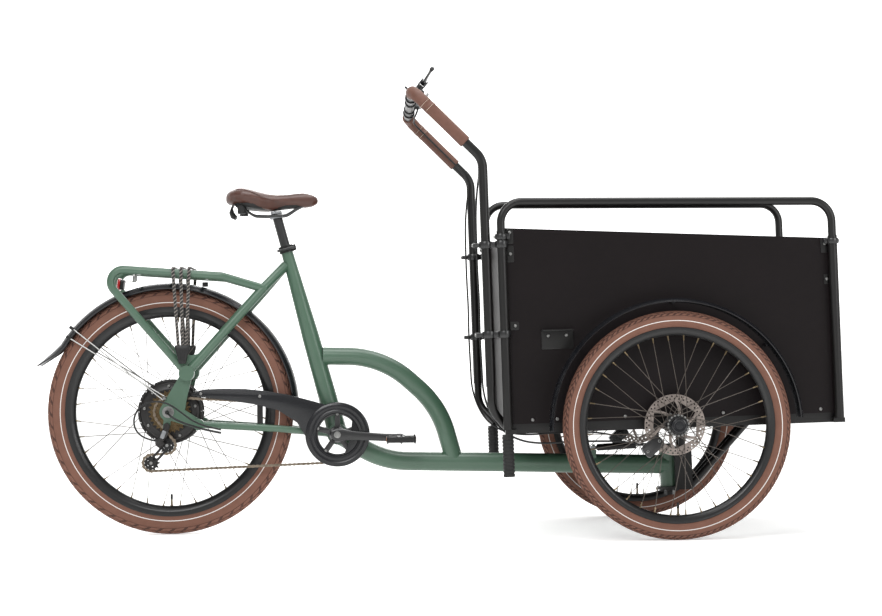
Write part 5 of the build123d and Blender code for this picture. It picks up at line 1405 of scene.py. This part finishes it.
# Rubber stop posts below the rear corners, ringed so that they grip the ground.
stops = []
for side in (-1, 1):
    profile = [(0, 0), (14.5, 0)]
    for k in range(11):
        profile += [(15.4, 2 + k * 9.8), (15.4, 7.4 + k * 9.8), (14.2, 8.4 + k * 9.8),
                    (14.2, 10.8 + k * 9.8)]
    profile += [(14.6, 111.6), (0, 111.6)]
    place = placed(deck(-12, side * 322, -142), ALONG, UP)
    stops.append(lathe("stop_post", profile, place, moulded_rubber, 40, angle=30))
hand_over(joined("ribbed_stop_posts", stops), "front_module", "black_rubber", "stop_posts")

# Disc brake calipers: two rounded halves, the bridge, and their screws.
calipers, caliper_seats = [], {-1: [], 1: []}
for side in (-1, 1):
    rotor_y = side * 362
    foot = spot(1352 - 58, 0, 298 - 56)
    slope_dir = Vector((1, 0, 0.9)).normalized()
    for shift, thick in ((-side, 13.0), (side, 5.4)):
        y = rotor_y + shift * (2.2 + thick / 2)
        place = placed(foot + LEFT * (y / 1000), slope_dir, -LEFT)
        calipers.append(block("caliper_half", place, 58, 34, thick, 9, anodised_forging))
    bridge = placed(foot - slope_dir * 0.0185 + LEFT * ((rotor_y - side * 3.8) / 1000), slope_dir, -LEFT)
    calipers.append(block("caliper_bridge", bridge, 21, 33, 22, 5, cast_aluminium))
    piston_y = rotor_y - side * 15.4
    calipers.append(lathe("caliper_piston", [(0, -1), (10.5, -1), (11.5, 0), (11.5, 2.6), (10, 3.6),
                                             (5, 3.8), (4, 2.4),
                                             (0, 2.4)],
                          placed(foot + slope_dir * 0.006 + LEFT * (piston_y / 1000), Vector((1, 0, 0)),
                                 LEFT * -side),
                          anodised_forging, 32))
    caliper_seats[side] = [foot + slope_dir * t + LEFT * ((rotor_y + side * 5.4) / 1000) for t in (-0.02,
                                                                                                   0.021)]
hand_over(joined("brake_caliper_bodies", calipers), "front_module", "black_alloy", "brake_calipers")
for side in (-1, 1):
    name = "caliper_screws_" + ("right" if side < 0 else "left")
    hand_over(screws(name, caliper_seats[side], LEFT * side, bolt_big, zinc_steel), "front_module",
              "steel_silver")

# Steering damper: a gas strut with a bright rod and two eyes.
DAMPER_ROOT, DAMPER_EYE = spot(1172, -52, 226), spot(1340, -86, 236)
damper_way = (DAMPER_EYE - DAMPER_ROOT).normalized()
strut = placed(DAMPER_ROOT, LEFT, damper_way)
body_profile = [(4.1, 9), (7.5, 9), (9.5, 12), (9.5, 88), (8.8, 89), (8.8, 91), (9.5, 92), (9.5, 115),
                (8, 118),
                (4.1, 118), (4.1, 19), (4.05, 19)]
damper_parts = [lathe("damper_cylinder", body_profile, strut, black_powder_coat, 40, True, angle=30)]
eye_place = placed(DAMPER_ROOT, Vector((1, 0, 0)), Vector((0, 0, 1)))
damper_parts.append(lathe("damper_eye", [(4.1, -4.5), (8.4, -4.5), (9, -4), (9, 4), (8.4, 4.5), (4.1, 4.5)],
                          eye_place,
                          cast_aluminium, 32, True))
hand_over(joined("damper_body", damper_parts), "steering_damper", "black_alloy", "steering_damper")
reach = (DAMPER_EYE - DAMPER_ROOT).length * 1000
rod_parts = [lathe("damper_bright_rod", [(0, 64), (3.9, 64), (3.9, reach - 8), (0, reach - 8)], strut,
                   zinc_steel, 24)]
far_eye = placed(DAMPER_EYE, Vector((1, 0, 0)), Vector((0, 0, 1)))
rod_parts.append(lathe("damper_rod_eye", [(4, -4), (7.6, -4), (8, -3.6), (8, 3.6), (7.6, 4), (4, 4)],
                       far_eye,
                       cast_aluminium, 32, True))
hand_over(joined("damper_rod_and_eye", rod_parts), "damper_rod", "steel_silver", "damper_rod")

# ---------------------------------------------------------------- handlebar: grips and controls
REACH = (ALONG * 0.66 + UP * 0.75).normalized()
BAR_MIDDLE = deck(-231, 0, 886)
LIFT = REACH.cross(LEFT)


def on_bar(v, ahead):
    """A point beside the cross bar, v to the left and ahead of it along the levers' reach."""
    return BAR_MIDDLE + LEFT * (v / 1000) + REACH * (ahead / 1000)


def corner(side):
    return deck(-231, side * 320, 886)


SLOPE = (corner(1) - deck(-52, 320, 699)).normalized()
BEND = 42.0
grip_parts, thread_parts = [], []
for side in (-1, 1):
    under = SLOPE.cross(LEFT)
    inward = LEFT * -side
    stops_at = [(-196, 15.4), (-195, 16.3), (-192, 16.6), (-160, 16.4), (-120, 16.3), (-84, 16.4),
                (-70, 16.5),
                (-69, 17.1), (-60, 17.0), (-59, 16.4), (-52, 16.5), (-51, 17.1), (-43, 17.0)]
    rings = []
    for back, r in stops_at:
        centre = corner(side) + SLOPE * (back / 1000)
        rings.append(oval(centre, LEFT * side, under, r, r, 2.0, 28))
    start = corner(side) - SLOPE * (BEND / 1000)
    pivot = start + inward * (BEND / 1000)
    for k in range(1, 13):
        a = pi / 2 * k / 12
        outward = -inward * cos(a) + SLOPE * sin(a)
        centre = pivot + outward * (BEND / 1000)
        bump = 0.6 if k in (3, 4, 5, 9, 10) else 0.0
        rings.append(oval(centre, outward, under, 16.4 + bump, 16.4 + bump, 2.0, 28))
    for out, r in ((4, 16.3), (6, 17.0), (12, 16.9), (13, 15.0)):
        centre = corner(side) + inward * ((BEND + out) / 1000)
        rings.append(oval(centre, SLOPE, under, r, r, 2.0, 28))
    grip_parts.append(loft("grip_sleeve", rings, grip_leather, 60))
    for back in (-64.5, -47):
        loop = [corner(side) + SLOPE * (back / 1000) + (LEFT * cos(a) + under * sin(a)) * 0.0171
                for a in [2 * pi * k / 48 for k in range(49)]]
        thread_parts.append(stitched("grip_stitches", loop, 26, linen_thread))
    row = [corner(side) + SLOPE * (back / 1000) - under * 0.0166 for back in (-190, -150, -110, -76)]
    thread_parts.append(stitched("grip_seam", row, 30, linen_thread))
hand_over(joined("leather_grips", grip_parts), "handlebar", "brown_leather", "grips")
hand_over(joined("grip_thread", thread_parts), "handlebar", "brown_leather")

controls = []
for side in (-1, 1):
    v = side * 168
    clamp_place = placed(on_bar(v - 10, 0), REACH, LEFT)
    clamp = [(12.6, 0), (16, 0), (17, 1.2), (17, 18.8), (16, 20), (12.6, 20)]
    controls.append(lathe("lever_clamp", clamp, clamp_place, anodised_forging, 40, True, angle=30))
    rings = []
    for out, shift, a, b, square in ((13.5, -6, 6, 6, 3), (16, -6, 9, 8, 3), (22, -4, 11, 9, 3),
                                     (32, 1, 13.5, 9.5, 3),
                                     (40, 4, 14.5, 10, 3), (43, 4, 12, 8, 3)):
        rings.append(oval(on_bar(v + side * shift, out), LEFT, LIFT, a, b, square, 28))
    controls.append(loft("master_cylinder", rings, anodised_forging, 40))
    for shift in (-1, 1):
        place = placed(on_bar(side * 172, 51) + LIFT * (shift * 8.2 / 1000), LEFT, LIFT)
        controls.append(block("lever_fork", place, 21, 22, 3.2, 6, anodised_forging))
    # fluid reservoir lying along the bar
    tank = [oval(on_bar(side * (168 - t), 30) + LIFT * -0.011, REACH, LIFT, a, b, 3.6, 24)
            for t, a, b in ((12, 5, 3), (14, 9, 5.5), (28, 10, 6.5), (44, 9, 5.5), (47, 5, 3))]
    controls.append(loft("fluid_tank", tank, moulded_nylon, 45))
    small_place = placed(on_bar(side * 75 - 8, 0), REACH, LEFT)
    small = [(12.6, 0), (15, 0), (16, 1), (16, 15), (15, 16), (12.6, 16)]
    controls.append(lathe("small_clamp", small, small_place, moulded_nylon, 40, True, angle=30))
screen = placed(on_bar(-24, 20), LEFT, REACH)
controls.append(block("display_body", screen, 58, 40, 11, 7, moulded_nylon))
controls.append(block("display_window", placed(on_bar(-24, 25.6), LEFT, REACH), 48, 31, 1.0, 4,
                      display_glass))
controls.append(block("bell_foot", placed(on_bar(75, 18.5), LEFT, REACH), 11, 11, 7, 3, moulded_nylon))
hand_over(joined("handlebar_controls", controls), "handlebar", "black_alloy", "control_mounts")
dome = [(0, 36), (6, 35.8), (12, 34.8), (17, 32), (20.5, 27.5), (22, 22.2), (21.2, 21.8), (19.6, 27),
        (16.2, 31),
        (11.6, 33.6), (5.8, 34.6), (0, 34.8)]
bell_place = placed(BAR_MIDDLE + LEFT * 0.075, LEFT, REACH)
hand_over(lathe("bell_dome", dome, bell_place, chrome_plate, 56, angle=60), "handlebar", "steel_silver")
tank_screws = [on_bar(side * (168 - t), 30) + LIFT * -0.0175 for side in (-1, 1) for t in (20, 38)]
hand_over(screws("fluid_tank_screws", tank_screws, -LIFT, bolt_small, zinc_steel), "handlebar",
          "steel_silver")

for side, name in ((-1, "right"), (1, "left")):
    pivot = on_bar(side * 174, 52)
    tip_at = pivot + LEFT * (side * 0.084) + REACH * 0.032
    way = (tip_at - pivot).normalized()
    wide = LIFT.cross(way)
    rings = []
    for t, a, b, hook in ((0.0, 3, 4, 0), (0.02, 7, 5.6, 0), (0.12, 7.4, 5.6, 0), (0.3, 6.2, 4.4, 1.4),
                          (0.5, 5.8, 3.9, 2.2),
                          (0.75, 5.6, 3.7, 1.6), (0.93, 5.6, 4.2, 0.4), (1.0, 6.4, 5.8, 0),
                          (1.06, 6.4, 5.8, 0),
                          (1.09, 3.5, 3.2, 0)):
        rings.append(oval(pivot.lerp(tip_at, t) - wide * (hook / 1000), wide, LIFT, a, b, 2.4, 24))
    blade = loft("lever_blade_" + name, rings, anodised_forging, 50)
    hub = lathe("lever_eye_" + name, [(0, -6), (6, -6), (7, -5), (7, 5), (6, 6), (0, 6)],
                placed(pivot, LEFT, LIFT),
                anodised_forging, 28)
    hand_over(joined("brake_blade_" + name, [blade, hub]), "brake_lever_" + name, "black_alloy",
              "brake_lever_" + name)
dial = [(0, 16.4), (17, 16.4), (17, 19), (16.2, 19.6), (16.2, 23), (15, 25.6), (6, 26.2), (0, 26.2)]
shift_parts = [lathe("shift_dial", dial, placed(BAR_MIDDLE - LEFT * 0.075, LEFT, REACH), moulded_nylon, 44,
                     angle=30)]
thumb = [oval(on_bar(-75, 22 + t * 2) + LIFT * (40 * t / 1000), LEFT, REACH, a, b, 2.6, 20)
         for t, a, b in ((0.1, 4, 3.4), (0.4, 4, 3.4), (0.7, 4.6, 3.2), (0.92, 5.4, 3.0), (1.0, 3, 2))]
shift_parts.append(loft("shift_thumb", thumb, moulded_nylon, 50))
hand_over(joined("shift_dial_and_thumb", shift_parts), "shift_lever", "black_plastic", "shift_lever")
striker = [tube("bell_arm", [on_bar(52, 27), on_bar(35, 29)], 2.4, zinc_steel, 3)]
striker.append(lathe("bell_pad", [(0, 24), (5, 24), (6, 25), (6, 33), (5, 34), (0, 34)],
                     placed(BAR_MIDDLE + LEFT * 0.035, LEFT, REACH), moulded_nylon, 24))
hand_over(joined("bell_striker", striker), "bell_lever", "black_plastic", "bell_lever")

# ---------------------------------------------------------------- cables and hoses
motor_route = [spot(0, -104, 340), spot(4, -121, 336), spot(20, -130, 324), spot(46, -126, 311),
               spot(76, -112, 300), spot(108, -103, 290), spot(146, -98, 282)]
gear_route = [spot(-34, -84, 262), spot(-62, -95, 268), spot(-88, -101, 292), spot(-92, -104, 326),
              spot(-74, -108, 358), spot(-38, -116, 372), spot(4, -122, 366), spot(40, -122, 340),
              spot(70, -118, 316), spot(106, -112, 300), spot(146, -104, 291)]


def hose_route(side):
    """A brake hose: under the cross bar from its lever, down beside the leg, forward to its caliper."""
    v, back = side * 296, placed(Vector(), LEFT, REACH).to_3x3() @ Vector((0, 1, 0))
    corner = deck(-231, side * 320, 886)
    slope = (corner - deck(-52, side * 320, 699)).normalized()
    back *= 1 if back.x < 0 else -1

    def under(along, ahead, down):
        return on_bar(side * along, ahead) - back * down / 1000

    def leg(down, lower=0):
        return corner - (slope * down + LEFT * side * 22 + back * lower) / 1000

    return [on_bar(side * 148, 34), on_bar(side * 130, 37), under(114, 32, 5), under(106, 18, 17),
            under(112, 3, 22), under(134, -2, 22), under(218, -2, 22), under(260, -4, 22),
            leg(44, 8), leg(84, 3), leg(130), leg(240),
            deck(-60, v, 668), deck(-68, v, 620), deck(-74, v, 560),
            deck(-75, v + side * 1, 470), deck(-75, v, 400), deck(-73, v + side * 2, 320), deck(-75, v, 240),
            deck(-73, v + side * 2, 150), deck(-72, v - side * 2, 80), deck(-52, v - side * 8, 18),
            deck(-22, v - side * 12, -24), deck(28, v - side * 14, -52), deck(90, v - side * 10, -60),
            deck(160, v - side * 6, -56), deck(230, v + side * 2, -58), deck(300, v + side * 12, -60),
            deck(345, v + side * 22, -72)]


rear_lines = [tube("motor_cable", motor_route, 3.0, moulded_rubber, 3, smooth=True),
              tube("gear_cable", gear_route, 2.4, moulded_rubber, 3, smooth=True)]
ferrule = placed(motor_route[0] - LEFT * 0.004, Vector((1, 0, 0)), -LEFT)
rear_lines.append(lathe("motor_plug", [(0, -2), (5.4, -2), (5.4, 9), (4, 14), (3.2, 20), (0, 20)], ferrule,
                        moulded_nylon, 20))
hand_over(joined("rear_cable_run", rear_lines), "rear_frame", "black_plastic", "rear_cables")
front_lines = [tube("brake_hose", hose_route(side), 2.6, moulded_rubber, 3, smooth=True) for side in (-1, 1)]
hoses = joined("brake_hoses", front_lines)
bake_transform(hoses)
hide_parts("front_cables")
scrap(stitch, bolt_small, bolt_big)

# ---------------------------------------------------------------- floor, lights and camera
floor_mesh = bpy.data.meshes.new("studio_floor")
floor_mesh.from_pydata([(-30, -30, -0.0005), (30, -30, -0.0005), (30, 60, -0.0005), (-30, 60, -0.0005)], [],
                       [(0, 1, 2, 3)])
# Seamless white paper: matt, all but pure white.
floor_paper = finish_of("studio_paper", "#F2F2F1", "#F6F6F5", 900, (0.85, 0.95), 4.0, 0.01,
                        emission_color=(1, 1, 1, 1), emission_strength=0.35, specular_ior_level=0.0)
studio_floor = stand("studio_floor", floor_mesh, floor_paper)
backdrop_mesh = bpy.data.meshes.new("studio_backdrop")
backdrop_mesh.from_pydata([(-30, 16, -0.5), (30, 16, -0.5), (30, 16, 25), (-30, 16, 25)], [], [(0, 1, 2, 3)])
# The same paper behind, lit evenly from its own side.
backdrop_paper = finish_of("backdrop_paper", "#F2F2F1", "#F6F6F5", 900, (0.85, 0.95), 4.0, 0.01,
                           emission_color=(1, 1, 1, 1), emission_strength=0.95, specular_ior_level=0.0)
studio_backdrop = stand("studio_backdrop", backdrop_mesh, backdrop_paper)

world = bpy.data.worlds.new("studio_air")
world.use_nodes = True
world.node_tree.nodes["Background"].inputs["Color"].default_value = linear("#FFFFFF")
world.node_tree.nodes["Background"].inputs["Strength"].default_value = 0.6
scene.world = world
scene.view_settings.view_transform = "Standard"
for name, place, aim, size, power in (("key_softbox", (-1.6, -4.2, 3.4), (0, 0, 0.5), (2.6, 1.6), 120),
                                      ("top_softbox", (0.3, -0.4, 3.6), (0, 0, 0.4), (3.2, 1.4), 90),
                                      ("fill_softbox", (3.4, -3.0, 1.8), (0.4, 0, 0.5), (1.8, 1.8), 55),
                                      ("back_softbox", (-0.5, 3.8, 2.6), (0, 0, 0.5), (3.0, 1.6), 70)):
    lamp_data = bpy.data.lights.new(name, "AREA")
    lamp_data.shape = "RECTANGLE"
    lamp_data.size, lamp_data.size_y = size
    lamp_data.energy = power
    lamp_object = bpy.data.objects.new(name, lamp_data)
    lamp_object.location = place
    lamp_object.rotation_euler = (Vector(aim) - Vector(place)).to_track_quat("-Z", "Y").to_euler()
    scene.collection.objects.link(lamp_object)

yaw, pitch, roll = -0.0351441, 0.0236765, -0.0118119
forward = Vector((-sin(yaw) * cos(pitch), cos(yaw) * cos(pitch), sin(pitch)))
right = Vector((cos(yaw), sin(yaw), 0))
above = right.cross(forward)
right_rolled = right * cos(roll) + above * sin(roll)
above_rolled = above * cos(roll) - right * sin(roll)
camera_data = bpy.data.cameras.new("long_lens")
camera_data.lens = 80.09
camera_data.sensor_width = 36
camera_object = bpy.data.objects.new("long_lens", camera_data)
turn = Matrix((right_rolled, above_rolled, -forward)).transposed().to_4x4()
camera_object.matrix_world = Matrix.Translation(spot(561.96, -5487.10, 489.28)) @ turn
scene.collection.objects.link(camera_object)
scene.camera = camera_object

bpy.context.view_layer.update()
